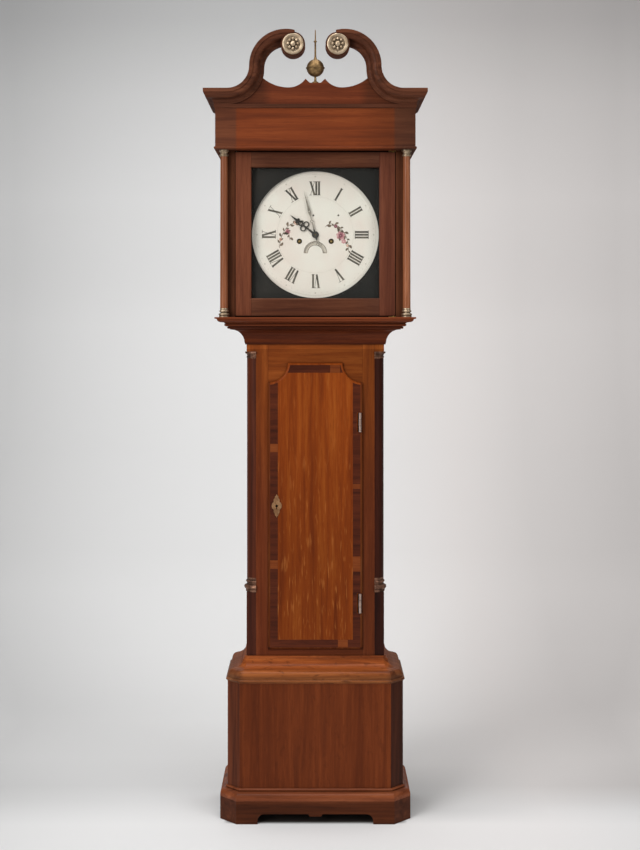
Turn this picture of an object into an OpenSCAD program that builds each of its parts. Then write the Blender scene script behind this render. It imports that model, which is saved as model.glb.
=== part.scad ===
// Longcase clock: a tall oak and mahogany case, a hood that slides off forwards,
// a round painted dial and an eight-day movement driven by two weights.
// The front faces -Y and the middle of the foot is the origin.

/* [Case heights] */
// Height of the plinth skirt
skirt_h = 59; // [50:1:70]
// Height of the moulding on the plinth
plinth_mould_h = 28; // [24:1:34]
// Height of the plain base above that moulding
base_h = 270; // [240:1:300]
// Height of the moulding between base and trunk
base_mould_h = 61; // [56:1:70]
// Height of the trunk above its door
door_head = 48; // [44:1:60]
// Height of the cove moulding under the hood
throat_h = 47; // [44:1:56]

/* [Case widths and depths] */
// Width of the trunk
trunk_w = 360; // [350:1:380]
// Depth of the trunk from the wall to its front
trunk_d = 170; // [165:1:190]
// How far the base stands out from the trunk on three sides
base_out = 48.5; // [44:0.5:54]
// How far the plinth stands out from the base
plinth_out = 19; // [16:0.5:24]
// Leg of the canted corner of the base
base_cant = 33; // [26:1:38]
// Thickness of the case boards
board_t = 14; // [12:0.5:16]
// Thickness of the backboard
back_t = 12; // [9:0.5:14]
// Half length of the gap between the front feet
foot_gap = 149; // [130:1:160]
// Height of the gap under the front skirt
foot_rise = 26; // [20:1:30]

/* [Trunk details] */
// Radius of the quarter columns
quarter_r = 25; // [20:0.5:28]
// Height of the plain block under each quarter column
block_h = 166; // [140:1:190]
// Height of the brass base of a quarter column
brass_base_h = 37; // [28:1:44]
// Height of the brass capital of a quarter column
brass_cap_h = 18; // [14:1:26]
// Height of the rail above the trunk door's columns
head_h = 19; // [14:1:28]

/* [Trunk door] */
// Width of the trunk door over its lip
door_w = 248; // [230:1:256]
// Height of the trunk door over its lip
door_h = 750; // [700:1:765]
// Height of the door's lower edge above the base moulding
door_rise = 17; // [14:1:24]
// Radius of the hollow upper corners of the door
door_hollow = 52; // [40:1:60]
// Width of the lip that laps over the frame
lip_w = 8; // [6:0.5:10]
// Thickness of the lip
lip_t = 8; // [7:0.5:10]
// Width of the dark crossbanding
band_w = 20; // [14:1:26]
// Height of a hinge
hinge_h = 50; // [40:1:60]
// Height of the keyhole above the door's lower edge
keyhole_rise = 376; // [340:1:410]

/* [Hood] */
// Height of the moulding at the foot of the hood
hood_base_h = 24; // [22:1:30]
// How far that moulding stands out from the trunk
hood_base_out = 77; // [72:1:84]
// Width of the hood between the outer faces of its sides
hood_w = 460; // [450:1:466]
// Depth of the hood's front frame from the wall
hood_d = 213; // [208:1:218]
// Height of the opening between the hood's foot and its frieze
hood_open_h = 431; // [420:1:450]
// Height of the frieze
frieze_h = 105; // [90:1:120]
// Height of the narrow band between frieze and cornice
fillet_h = 10; // [8:1:14]
// Height of the cornice moulding
crown_h = 37; // [34:1:42]
// How far the cornice stands out from the frieze
crown_out = 29.3; // [26:0.1:34]
// Radius of the hood columns
column_r = 10; // [8:0.5:10]
// Distance of each hood column's middle from the middle of the hood
column_x = 235.5; // [235:0.5:238]
// Height of the turned brass base of a hood column
hood_brass_base_h = 23; // [18:1:24]
// Height of the turned brass capital of a hood column
hood_brass_cap_h = 17; // [12:1:24]

/* [Hood door] */
// Width of the hood door
hood_door_w = 413; // [404:1:416]
// Thickness of the hood door
hood_door_t = 18; // [16:0.5:20]
// Width of the glass opening
glass_w = 331; // [310:1:340]
// Width of the door's lower rail
low_rail = 45; // [38:1:52]
// Width of the door's upper rail
top_rail = 39; // [34:1:46]

/* [Pediment] */
// Inner radius of the swan necks
neck_r = 56.5; // [52:0.5:60]
// Distance from the middle to the centre of each upper curve
neck_x = 75; // [72:1:80]
// Radius of the round boss at the end of each neck
boss_r = 31; // [29:0.5:34]
// Distance of each boss from the middle
boss_x = 57; // [54:1:62]
// Thickness of each boss
boss_t = 24; // [20:1:28]
// Radius of a rosette
rosette_r = 27.5; // [22:0.1:28.5]
// Thickness of a rosette
rosette_t = 10; // [8:0.5:12]
// Thickness of the pediment board
pediment_t = 18; // [14:1:20]
// Distance of the lowest point of each hollow of the board from the middle
lobe_x = 68; // [62:1:72]
// Radius of the inner half of each hollow; the outer half has twice as much
lobe_r = 52; // [48:1:58]
// Radius of the finial's ball
finial_r = 22.5; // [18:0.5:26]
// Height of the finial
finial_h = 139; // [130:1:156]

/* [Dial] */
// Height of the dial's middle above the hood's foot
dial_rise = 215; // [212:1:218]
// Radius of the dial
dial_r = 171; // [168:1:176]
// Radius of the round hole in the black mask
mask_r = 165; // [158:0.5:166]
// Gap between the dial and the mask in front of it
dial_gap = 3; // [2:0.5:5]
// Length of the minute hand
minute_len = 118; // [105:1:130]
// Length of the hour hand
hour_len = 84; // [70:1:92]
// Radius of a winding hole
wind_hole_r = 7; // [5.5:0.5:8]
// Radius of the date disc
date_r = 30; // [28:0.5:32]
// Distance of the date disc's middle below the hands
date_drop = 47; // [45:1:50]

/* [Movement] */
// Half width of the movement's plates
plate_w = 64; // [62:1:70]
// Reach of the plates above the hands' arbor
plate_up = 88; // [84:1:94]
// Reach of the plates below the hands' arbor
plate_down = 76; // [74:1:84]
// Thickness of a plate
plate_t = 3; // [2.5:0.5:3.5]
// Depth of the back plate's rear face from the wall
back_plate_d = 87; // [86:0.5:88]
// Depth of the front plate's front face from the wall
front_plate_d = 150; // [149:0.5:151]
// Distance of each barrel from the middle
barrel_x = 41.5; // [41:0.5:43]
// Distance of the barrels below the hands' arbor
barrel_drop = 17; // [16:0.5:18]
// Radius of a barrel
barrel_r = 21.3; // [20:0.1:21.3]
// Thickness of the wheels
wheel_t = 2.5; // [1.5:0.1:2.8]
// Thickness of the seat board
seat_t = 20; // [16:1:24]
// Distance of the pallet arbor above the hands' arbor
pallet_rise = 66; // [65.5:0.5:67]
// Distance of the bell's middle to the right of the hands' arbor
bell_x = 10; // [8:0.5:14]
// Radius of the bell
bell_r = 50; // [48:0.5:50]

/* [Pendulum and weights] */
// Length of the pendulum from its spring to the middle of its bob
pendulum_len = 994; // [980:1:1010]
// Radius of the pendulum bob
bob_r = 75; // [65:1:82]
// Thickness of the pendulum bob
bob_t = 26; // [20:1:28]
// Depth of the pendulum from the wall
pendulum_d = 60; // [57:0.5:61]
// Radius of a weight
weight_r = 28; // [24:0.5:29]
// Height of a weight
weight_h = 165; // [140:1:180]
// Height of the weights above the floor when they are run down
weight_rise = 110; // [100:1:140]
// Radius at which the line runs in a pulley
pulley_r = 22.3; // [22.3:0.1:24]
// Thickness of the gut line
line_d = 1.6; // [1.2:0.1:1.8]

/* [Clearances] */
// Gap round the trunk door's body in its frame
door_gap = 1.5; // [1.4:0.1:2.5]
// Gap round the hood door
hood_gap = 2; // [1.8:0.1:3]
// Running gap of an arbor in its hole
run_gap = 0.05; // [0.03:0.01:0.08]
// Gap between neighbours that slide past each other
slide_gap = 0.3; // [0.2:0.1:0.5]

/* [Hidden] */
$fn = 64;
eps = 0.01;
far = 900;

// Heights, from the floor up
plinth_z = skirt_h;
base_z = plinth_z + plinth_mould_h;
base_top = base_z + base_h;
trunk_z = base_top + base_mould_h;
door_z = trunk_z + door_rise;
door_top = door_z + door_h;
trunk_top = door_top + door_head;
hood_z = trunk_top + throat_h;
floor_z = hood_z + hood_base_h;
frieze_z = floor_z + hood_open_h;
frieze_top = frieze_z + frieze_h;
crown_z = frieze_top + fillet_h;
crown_top = crown_z + crown_h;

// Half widths and depths
trunk_x = trunk_w / 2;
plinth_all = base_out + plinth_out;
frieze_x = trunk_x + hood_base_out;
frieze_d = trunk_d + hood_base_out;
rosette_d = frieze_d + boss_t + rosette_t;
depth_all = max(rosette_d, frieze_d + crown_out, trunk_d + plinth_all);
wall_y = depth_all / 2;
hood_x = hood_w / 2;
cavity_x = trunk_x - board_t;
ear_x = hood_x - board_t - 2;
board_top = frieze_top - 3;
column_d = trunk_d - quarter_r;
stile_x = trunk_x - quarter_r;
frame_back = trunk_d - board_t;

// Trunk door
door_x = door_w / 2;
door_face = trunk_d + lip_t;
hole_x = door_x - lip_w;
hinge_x = door_x - 7;
hinge_d = door_face + 2;
hinge_r = 3.6;
hinge_pin_r = 1.5;
leaf_t = 1.5;
hinge_swing = 9.7;
thumb = 6;
hinges_z = [door_z + 121, door_top - 156];
keyhole_z = door_z + keyhole_rise;
keyhole_x = door_x - 23;
keyhole_r = 3.3;
lock_w = 46;
lock_h = 42;
lock_t = 12;
bolt_w = 5;
bolt_h = 16;
lock_x = -hole_x + door_gap + 2;
bolt_d = frame_back - bolt_w / 2 - slide_gap;

// Hood
carcase_back = 4;
stile_d = hood_d - hood_door_t;
mask_t = 3;
mask_front = stile_d - 2;
hood_door_x = hood_door_w / 2;
hood_door_z = floor_z + 4;
hood_door_top = frieze_z - 4;
glass_z = hood_door_z + low_rail;
glass_top = hood_door_top - top_rail;
glass_t = 2.5;
edge_r = 4;
pivot_x = hood_door_x - 4;
pivot_d = hood_d - 4;
pivot_r = 2;
frieze_t = 18;
soffit_t = 12;
hood_rail_x = trunk_x + 4;
hood_rail_d = trunk_d + 6;
hood_column_d = hood_d + 13;

// Pediment
neck_z = crown_z + neck_r + crown_h;
low_neck_x = neck_x + 2 * neck_r + crown_h;
boss_z = neck_z + neck_r - 0.5;
seat_z = crown_top + 18;
horn_z = seat_z + 10;

// Dial and movement
hands_z = floor_z + dial_rise;
barrel_z = hands_z - barrel_drop;
pallet_z = hands_z + pallet_rise;
date_z = hands_z - date_drop;
seat_top = hands_z - plate_down;
dial_t = 2;
dial_d = mask_front - mask_t - dial_gap;
minute_angle = 14.7;
hour_angle = 52;
inside_back = back_plate_d + plate_t;
inside_front = front_plate_d - plate_t;
plate_span = inside_front - inside_back;
arbor_r = 1.6;
barrel_arbor_r = 3;
shoulder = 0.5;
collar_t = 0.3;
spring_t = 0.6;
cannon_r = 2.6;
pipe_r = 4;
square_w = 5.2;
hammer_x = 44;
hammer_z = hands_z + 50;
bell_z = hands_z + plate_up + 22;
bell_d = (back_plate_d + front_plate_d) / 2;

// Wheels: teeth, leaves and modules
great_teeth = 96;
leaves = 8;
centre_teeth = 60;
third_teeth = 56;
escape_leaves = 7;
escape_teeth = 30;
pin_teeth = 64;
strike_teeth = 78;
barrel_reach = sqrt(pow(barrel_x, 2) + pow(barrel_drop, 2));
great_m = 2 * barrel_reach / (great_teeth + leaves);
centre_m = 0.9;
third_m = 0.8;
strike_m = 0.86;
pin_m = 0.75;
pin_ring = 19;
motion_teeth = 36;
motion_m = 0.6;
hour_teeth = 72;
hour_leaves = 6;
motion_reach = motion_teeth * motion_m;
hour_m = 2 * motion_reach / (hour_teeth + hour_leaves);
third_reach = (centre_teeth + leaves) / 2 * centre_m;
third_x = 16.5;
third_up = sqrt(pow(third_reach, 2) - pow(third_x, 2));
third_z = hands_z + third_up;
escape_reach = (third_teeth + escape_leaves) / 2 * third_m;
escape_z = third_z + sqrt(pow(escape_reach, 2) - pow(third_x, 2));
pin_reach = (strike_teeth + leaves) / 2 * strike_m;
pin_x = -(barrel_x - 9.5);
pin_z = barrel_z + sqrt(pow(pin_reach, 2) - pow(barrel_x + pin_x, 2));
escape_r = 14;

// Planes of the wheels, as depths from the wall
strike_great_d = inside_back + 2;
centre_d = inside_back + 7;
third_d = inside_back + 14;
escape_d = inside_back + 38;
great_d = inside_front - 5.5;
barrel_back = inside_back + 11.5;
barrel_front = barrel_back + 32.5;
barrel_mid = (barrel_back + barrel_front) / 2;
cannon_d = front_plate_d + 2;
hour_wheel_d = front_plate_d + 7;
hour_hand_d = dial_d + 2;
minute_hand_d = dial_d + 5;
hand_t = 1;
date_d = dial_d - dial_t - 4;

// Weights, lines and pulleys
line_r = line_d / 2;
seat_low = seat_top - seat_t;
weight_top = weight_rise + weight_h;
hook_h = 22;
fork_z = weight_top + hook_h - 14;
pulley_z = weight_top + hook_h + pulley_r + 8;
pulley_t = 8;

// Points of a quarter curve from a to b; upright says that it starts along z
function bend(a, b, upright, n = 6) = [
    for (i = [0 : n])
        let (t = 90 * i / n)
        upright ? [a[0] + (b[0] - a[0]) * (1 - cos(t)), a[1] + (b[1] - a[1]) * sin(t)]
                : [a[0] + (b[0] - a[0]) * sin(t), a[1] + (b[1] - a[1]) * (1 - cos(t))]
];

// Half-round bead that stands out from x between two heights
function bead(x, z0, z1, n = 6) = [
    for (i = [0 : n]) [x + (z1 - z0) / 2 * sin(180 * i / n), z0 + (z1 - z0) * (1 - cos(180 * i / n)) / 2]
];

// Profiles, each as [distance out from the trunk, height above its foot], from the foot up
function plinth_profile() = concat(
    [[plinth_all, 0], [plinth_all, 4]],
    bend([plinth_all, 4], [base_out + 8, plinth_mould_h - 9], true),
    [[base_out + 6, plinth_mould_h - 8]],
    bead(base_out + 2, plinth_mould_h - 7, plinth_mould_h - 1),
    [[base_out + 2, plinth_mould_h]]
);
function base_top_profile() = concat(
    [[base_out + 1, 0]],
    bead(base_out + 1, 2, 9),
    [[base_out - 1, 9], [base_out - 1, 12]],
    bend([base_out - 1, 13], [base_out - 14, 30], true),
    bend([base_out - 16, 31], [9, base_mould_h - 8], false),
    [[7, base_mould_h - 8], [7, base_mould_h - 6], [4.5, base_mould_h - 6], [4.5, base_mould_h]]
);
function throat_profile() = concat(
    [[4, 0], [4, 4]],
    bend([5, 4], [hood_base_out - 39, throat_h - 8], true),
    [[hood_base_out - 36, throat_h - 8], [hood_base_out - 36, throat_h - 6]],
    bead(hood_base_out - 32, throat_h - 6, throat_h)
);
function hood_base_profile() = concat(
    [[hood_base_out - 27, 0]],
    bead(hood_base_out - 25, 1, 7),
    [[hood_base_out - 22, 8], [hood_base_out - 22, 10]],
    bend([hood_base_out - 14, 11], [hood_base_out - 4, hood_base_h - 5], false),
    [[hood_base_out + 1.5, hood_base_h - 4], [hood_base_out + 1.5, hood_base_h]]
);
function crown_profile() = concat(
    [[3, 0], [3, 4]],
    bend([4, 4], [crown_out / 2, crown_h * 0.35], true),
    bend([crown_out / 2 + 1, crown_h * 0.35], [crown_out - 2.5, crown_h * 0.7], false),
    [[crown_out, crown_h * 0.75], [crown_out, crown_h]]
);
function cornice_profile() = concat(
    [[hood_base_out + 1, 0], [hood_base_out + 3, 2]],
    [for (p = crown_profile()) [p[0] + hood_base_out, p[1] + fillet_h]]
);
function frieze_profile() = concat(
    bead(hood_base_out, 0, 7),
    [[hood_base_out, 8], [hood_base_out, frieze_h]]
);

// A board between x0 and x1, depths d0 and d1 from the wall and heights z0 and z1
module slab(x0, x1, d0, d1, z0, z1) {
    translate([x0, wall_y - d1, z0]) cube([x1 - x0, d1 - d0, z1 - z0]);
}

// The same board on both sides of the clock
module pair(x0, x1, d0, d1, z0, z1) {
    slab(x0, x1, d0, d1, z0, z1);
    slab(-x1, -x0, d0, d1, z0, z1);
}

// Something drawn once for the right side, and again for the left
module both() {
    children();
    mirror([1, 0, 0]) children();
}

// A shape drawn in x and z, standing between two depths from the wall
module upright(d0, d1) {
    translate([0, wall_y - d0, 0]) rotate([90, 0, 0]) linear_extrude(d1 - d0) children();
}

// A shaft along the depth
module rod(x, z, r, d0, d1) {
    translate([x, wall_y - d0, z]) rotate([90, 0, 0]) cylinder(r = r, h = d1 - d0);
}

// An upright pin
module post(x, d, r, z0, z1) {
    translate([x, wall_y - d, z0]) cylinder(r = r, h = z1 - z0);
}

// A turned shape about an upright axis, from points of [radius, height]
module turned(x, d, z, points) {
    translate([x, wall_y - d, z]) rotate_extrude() polygon(points);
}

// Half of a profile's silhouette, reaching a given distance plus the profile
module silhouette(points, reach, z) {
    polygon(concat(
        [[-far, z + points[0][1]]],
        [for (p = points) [reach + p[0], z + p[1]]],
        [[-far, z + points[len(points) - 1][1]]]
    ));
}

// One face of a mitred block: a profile that runs along a wall turned about the wall line's middle
module run(points, reach, z, turn) {
    translate([0, wall_y, 0]) rotate([0, 0, turn]) rotate([90, 0, 0])
        linear_extrude(2 * far, center = true) silhouette(points, reach, z);
}

// A block round the trunk whose front and sides carry a profile, mitred at the corners
module moulded_block(points, z) {
    difference() {
        intersection() {
            run(points, trunk_d, z, -90);
            run(points, trunk_x, z, 0);
            run(points, trunk_x, z, 180);
        }
        slab(-far, far, -far, 0, z - 1, z + far);
    }
}

// The same, with corners canted so that the flat is base_cant deep at the base
module canted_block(points, z) {
    reach = (trunk_x + trunk_d + 2 * base_out - base_cant) / sqrt(2) - base_out;
    intersection() {
        moulded_block(points, z);
        run(points, reach, z, -45);
        run(points, reach, z, -135);
    }
}

// A plain profile that stands out the same distance over a height
function plain(out, h) = [[out, 0], [out, h]];

// A wheel or pinion in the x and z plane; phase is the direction of one tooth's middle
module gear(x, z, teeth, m, d, t, phase, tip = 0.85, root = 1.1, full = 0.21, top = 0.09) {
    r = teeth * m / 2;
    step = 360 / teeth;
    translate([x, wall_y - d, z]) rotate([90, 0, 0]) rotate([0, 0, phase]) linear_extrude(t)
        polygon([
            for (i = [0 : teeth - 1])
                for (p = [[r - root * m, -full], [r + tip * m, -top],
                          [r + tip * m, top], [r - root * m, full]])
                    p[0] * [cos(step * (i + p[1])), sin(step * (i + p[1]))]
        ]);
}

// A pinion with slim leaves; toward is the direction of the wheel that it meets
module pinion(x, z, n, m, d, t, toward) {
    gear(x, z, n, m, d, t, toward + 180 / n, 0.55, 1.15, 0.19, 0.1);
}

// Holes between the spokes of a wheel
module crossings(x, z, hub, rim, d, t, count = 4) {
    for (i = [0 : count - 1])
        translate([x, wall_y - d + 1, z]) rotate([90, 0, 0]) rotate([0, 0, i * 360 / count])
            rotate([0, 0, 10]) rotate_extrude(angle = 360 / count - 20) translate([hub, 0])
                square([rim - hub, t + 2]);
}

// Case

module backboard() {
    color("saddlebrown") {
        slab(-cavity_x, cavity_x, 0, back_t, base_top - 30, board_top);
        // ears that close the back of the hood
        pair(cavity_x - 1, ear_x, 0, back_t, seat_low, board_top);
        pair(trunk_x, ear_x, 0, back_t, floor_z + 1, seat_low + 1);
        slab(-(trunk_x + base_out - board_t), trunk_x + base_out - board_t, 0, back_t, foot_rise + 2,
             base_top - 30);
    }
}

module trunk_sides() {
    color("sienna") {
        pair(cavity_x, trunk_x, 0, column_d, base_top - 30, seat_low);
        // glue blocks in the corners behind the quarter columns
        both() upright_block([
            [cavity_x, column_d - board_t], [cavity_x, column_d], [stile_x, column_d],
            [stile_x, frame_back], [stile_x - board_t, frame_back], [stile_x - board_t, column_d - board_t]
        ], base_top - 30, trunk_top - head_h);
    }
}

// A post drawn in plan as [x, depth from the wall]
module upright_block(plan, z0, z1) {
    translate([0, wall_y, z0]) linear_extrude(z1 - z0) polygon([for (p = plan) [p[0], -p[1]]]);
}

// Outline of the trunk door, drawn in x and z, drawn in by a margin
module door_outline(margin) {
    difference() {
        translate([-door_x + margin, door_z + margin])
            square([door_w - 2 * margin, door_h - 2 * margin]);
        for (side = [-1, 1]) translate([side * door_x, door_top]) circle(r = door_hollow + margin);
    }
}

module trunk_front_frame() {
    color("peru") difference() {
        union() {
            upright(frame_back, trunk_d) difference() {
                translate([-stile_x, base_top - 30])
                    square([2 * stile_x, trunk_top - head_h - base_top + 30]);
                door_outline(lip_w);
            }
            slab(-trunk_x, trunk_x, frame_back, trunk_d, trunk_top - head_h, trunk_top);
            pair(stile_x - board_t, trunk_x, column_d, trunk_d, trunk_top - head_h, trunk_top);
            slab(-cavity_x, cavity_x, frame_back, trunk_d, trunk_top, hood_z);
        }
        hinge_cuts(1);
    }
}

module quarter_columns() {
    low = trunk_z + block_h;
    color("maroon") both() {
        slab(stile_x, trunk_x, column_d, trunk_d, base_top - 30, low);
        intersection() {
            post(stile_x, column_d, quarter_r, low + brass_base_h, trunk_top - head_h - brass_cap_h);
            slab(stile_x, trunk_x + 9, column_d, trunk_d + 9, low, trunk_top);
        }
    }
}

// Quarter of a turned brass ring stack that wraps a quarter column
module quarter_brass(z, points) {
    intersection() {
        turned(stile_x, column_d, z, points);
        slab(stile_x, trunk_x + 19, column_d, trunk_d + 19, z, z + 99);
    }
}

module trunk_column_brasses() {
    r = quarter_r;
    h = brass_base_h;
    c = brass_cap_h;
    color("darkgoldenrod") both() {
        quarter_brass(trunk_z + block_h, concat(
            [[0, 0], [r + 3, 0], [r + 3, h * 0.16]],
            bead(r + 1, h * 0.16, h * 0.5),
            [[r - 1, h * 0.54], [r - 1, h * 0.62]],
            bead(r - 1, h * 0.62, h * 0.82),
            [[r, h * 0.86], [r, h], [0, h]]
        ));
        quarter_brass(trunk_top - head_h - brass_cap_h, concat(
            [[0, 0], [r, 0]],
            bead(r, c * 0.1, c * 0.3),
            [[r, c * 0.36]],
            bend([r, c * 0.36], [r + 4, c * 0.72], true),
            [[r + 5, c * 0.75], [r + 5, c], [0, c]]
        ));
    }
}

module throat_moulding() {
    color("saddlebrown") difference() {
        moulded_block(throat_profile(), trunk_top);
        slab(-trunk_x, trunk_x, -1, trunk_d, trunk_top - 1, hood_z + 1);
    }
}

module base_top_moulding() {
    color("sienna") difference() {
        canted_block(base_top_profile(), base_top);
        slab(-trunk_x, trunk_x, -1, trunk_d, base_top - 1, trunk_z + 1);
    }
}

module base_front_panel() {
    x = trunk_x + base_out - base_cant;
    color("maroon") slab(-x, x, trunk_d + base_out - board_t, trunk_d + base_out, foot_rise + 2, base_top);
}

module base_sides() {
    x = trunk_x + base_out;
    d = trunk_d + base_out;
    t = board_t * sqrt(2);
    color("maroon") {
        pair(x - board_t, x, 0, d - base_cant, foot_rise + 2, base_top);
        // bottom board
        upright_block([
            [-x + board_t, back_t], [x - board_t, back_t], [x - board_t, d - base_cant],
            [x - t, d - base_cant], [x - base_cant, d - t], [x - base_cant, d - board_t],
            [-x + base_cant, d - board_t], [-x + base_cant, d - t], [-x + t, d - base_cant],
            [-x + board_t, d - base_cant]
        ], skirt_h, skirt_h + back_t);
        // packing that holds the trunk inside the base
        pair(trunk_x, x - board_t, 0, column_d, base_top - 30, base_top);
    }
}

module base_corner_posts() {
    x = trunk_x + base_out;
    d = trunk_d + base_out;
    t = board_t * sqrt(2);
    color("saddlebrown") both() upright_block([
        [x - base_cant, d], [x, d - base_cant], [x - t, d - base_cant], [x - base_cant, d - t]
    ], foot_rise + 2, base_top);
}

module plinth_moulding() {
    color("sienna") difference() {
        canted_block(plinth_profile(), plinth_z);
        canted_block(plain(base_out, plinth_mould_h + 2), plinth_z - 1);
    }
}

// Gap between two bracket feet, drawn in x and z, with a small drop in the middle if asked
module foot_cut(half, rise, drop) {
    r = rise * 0.7;
    difference() {
        union() {
            translate([-half, -1]) square([2 * half, rise - r + 1]);
            translate([-half + r, -1]) square([2 * (half - r), rise + 1]);
            for (side = [-1, 1]) translate([side * (half - r), rise - r]) circle(r = r);
        }
        if (drop > 0) polygon([[-19, rise + 1], [-15, rise - drop], [15, rise - drop], [19, rise + 1]]);
    }
}

module plinth_skirt() {
    side_gap = (trunk_d + plinth_all) / 4;
    color("saddlebrown") difference() {
        canted_block(plain(plinth_all, skirt_h), 0);
        canted_block(plain(base_out, skirt_h + 2), -1);
        upright(trunk_d, trunk_d + far) foot_cut(foot_gap, foot_rise, 6);
        translate([-far, wall_y - 2 * side_gap, 0]) rotate([90, 0, 90]) linear_extrude(2 * far)
            foot_cut(side_gap, foot_rise, 0);
    }
}

module seat_board() {
    color("burlywood") difference() {
        slab(-trunk_x, trunk_x, back_plate_d - 12, front_plate_d + 14, seat_low, seat_top);
        for (side = [-1, 1]) post(side * barrel_x - pulley_r, barrel_mid, 6, seat_low - 1, seat_top + 1);
        for (side = [-1, 1])
            post(side * barrel_x + pulley_r, barrel_mid, line_r, seat_low - 1, seat_low + 10);
    }
}

// Brass hinges of the trunk door: alternate knuckles and leaves

// Knuckle heights of one hinge; part 0 is the door's and part 1 the case's
function knuckles(part) = part == 0 ? [0.34, 0.66] : [0, 0.32, 0.68, 1];

module hinge_leaf(part) {
    x = part == 0 ? hole_x - door_gap - leaf_t : hole_x;
    for (z = hinges_z) {
        low = z - hinge_h / 2;
        k = knuckles(part);
        difference() {
            union() {
                slab(x, x + leaf_t, frame_back + 2, trunk_d, low, low + hinge_h);
                for (i = [0 : 2 : len(k) - 1]) {
                    post(hinge_x, hinge_d, hinge_r, low + k[i] * hinge_h, low + k[i + 1] * hinge_h);
                    slab(x, x + leaf_t, trunk_d - 1, hinge_d, low + k[i] * hinge_h,
                         low + k[i + 1] * hinge_h);
                    slab(x, hinge_x, hinge_d - leaf_t, hinge_d, low + k[i] * hinge_h,
                         low + k[i + 1] * hinge_h);
                }
            }
            if (part == 0) post(hinge_x, hinge_d, hinge_pin_r + run_gap, low - 1, low + hinge_h + 1);
        }
        if (part == 1) post(hinge_x, hinge_d, hinge_pin_r, low, low + hinge_h);
    }
}

// Room for the hinges; part 0 is cut from the door and part 1 from the frame
module hinge_cuts(part) {
    x = part == 0 ? hole_x - door_gap - leaf_t : hole_x;
    for (z = hinges_z) {
        low = z - hinge_h / 2;
        slab(x - part, x + leaf_t + 1 - part, frame_back + 2, trunk_d + 1, low, low + hinge_h);
        if (part == 0)
            slab(hole_x - leaf_t - hinge_r - 1, door_x + 1, trunk_d - 2, door_face + 1,
                 low - slide_gap, low + hinge_h + slide_gap);
    }
}

module trunk_hinge_case_leaves() {
    color("goldenrod") hinge_leaf(1);
}

// Hood

module hood_base_moulding() {
    color("sienna") difference() {
        moulded_block(hood_base_profile(), hood_z);
        slab(-hood_rail_x, hood_rail_x, -1, hood_rail_d, hood_z - 1, floor_z + 1);
    }
}

module hood_carcase() {
    color("saddlebrown") {
        pair(hood_x - board_t, hood_x, carcase_back, stile_d, floor_z, frieze_top);
        // upright stiles on each side of the door
        pair(hood_door_x + hood_gap, hood_x, stile_d, hood_d, floor_z, frieze_z);
        pair(hood_x - board_t, hood_x, stile_d, hood_d, frieze_z, frieze_top);
        // rails that tie the sides at the front above the door
        slab(-hood_x + board_t, hood_x - board_t, stile_d, hood_d, frieze_z, frieze_z + soffit_t);
        // dust board
        slab(-frieze_x + frieze_t, frieze_x - frieze_t, carcase_back, frieze_d - frieze_t,
             frieze_top, frieze_top + 8);
    }
}

module frieze() {
    color("maroon") difference() {
        moulded_block(frieze_profile(), frieze_z);
        slab(-hood_x, hood_x, -1, hood_d, frieze_z - 1, frieze_z + soffit_t);
        slab(-frieze_x + frieze_t, frieze_x - frieze_t, -1, frieze_d - frieze_t, frieze_z + soffit_t,
             frieze_top + 1);
    }
}

module cornice() {
    color("sienna") difference() {
        moulded_block(cornice_profile(), frieze_top);
        slab(-frieze_x + frieze_t, frieze_x - frieze_t, -1, frieze_d, frieze_top - 1, crown_top + 1);
        slab(-low_neck_x, low_neck_x, frieze_d - 1, frieze_d + 2 * crown_out, crown_z, crown_top + 1);
    }
}

// Hollow of the pediment board on the right, from the middle's point to the swan neck
module lobe() {
    low = crown_top + 6;
    intersection() {
        translate([lobe_x - 2 * lobe_r, low - 1]) square([2 * lobe_r, far]);
        translate([lobe_x, low + lobe_r]) circle(r = lobe_r);
    }
    difference() {
        translate([lobe_x, low + 2 * lobe_r]) circle(r = 2 * lobe_r);
        translate([lobe_x - far, low - 1]) square([far, far]);
        translate([low_neck_x, neck_z]) circle(r = neck_r + crown_h);
    }
}

// Outline of the pediment board in x and z
module pediment_outline() {
    translate([-frieze_x + frieze_t, frieze_top])
        square([2 * (frieze_x - frieze_t), crown_top - frieze_top]);
    difference() {
        translate([-low_neck_x, frieze_top]) square([2 * low_neck_x, neck_z - frieze_top]);
        for (side = [-1, 1]) {
            translate([side * low_neck_x, neck_z]) circle(r = neck_r);
        }
        lobe();
        mirror([1, 0]) lobe();
        translate([-neck_x, horn_z]) square([2 * neck_x, far]);
        polygon([[-14, seat_z], [14, seat_z], [26, horn_z + 1], [-26, horn_z + 1]]);
    }
    for (side = [-1, 1]) {
        difference() {
            translate([side * neck_x, neck_z]) circle(r = neck_r + crown_h);
            translate([side * neck_x, neck_z]) circle(r = neck_r);
            translate([-far, neck_z - far]) square([2 * far, far]);
            translate([side > 0 ? -far : -boss_x, neck_z - 1]) square([far + boss_x, far]);
        }
        translate([side * boss_x, boss_z]) circle(r = boss_r);
    }
}

module pediment_board() {
    color("maroon") upright(frieze_d - pediment_t, frieze_d) pediment_outline();
}

// One curve of a swan neck about a centre; inward curves carry their top edge on the outside
module neck_curve(x, start, sweep, outward) {
    translate([x, wall_y - frieze_d, neck_z]) rotate([90, 0, 0]) rotate([0, 0, start])
        rotate_extrude(angle = sweep) polygon(concat(
            [[outward ? neck_r : neck_r + crown_h, 0]],
            [for (p = crown_profile()) [outward ? neck_r + p[1] : neck_r + crown_h - p[1], p[0]]],
            [[outward ? neck_r + crown_h : neck_r, 0]]
        ));
}

module swan_necks() {
    color("sienna") both() {
        neck_curve(low_neck_x, 180, 90, false);
        difference() {
            neck_curve(neck_x, 0, 104, true);
            // seat of the rosette
            rod(boss_x, boss_z, rosette_r + slide_gap, frieze_d + boss_t, frieze_d + crown_out + 1);
        }
        rod(boss_x, boss_z, boss_r, frieze_d, frieze_d + boss_t);
    }
}

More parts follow.
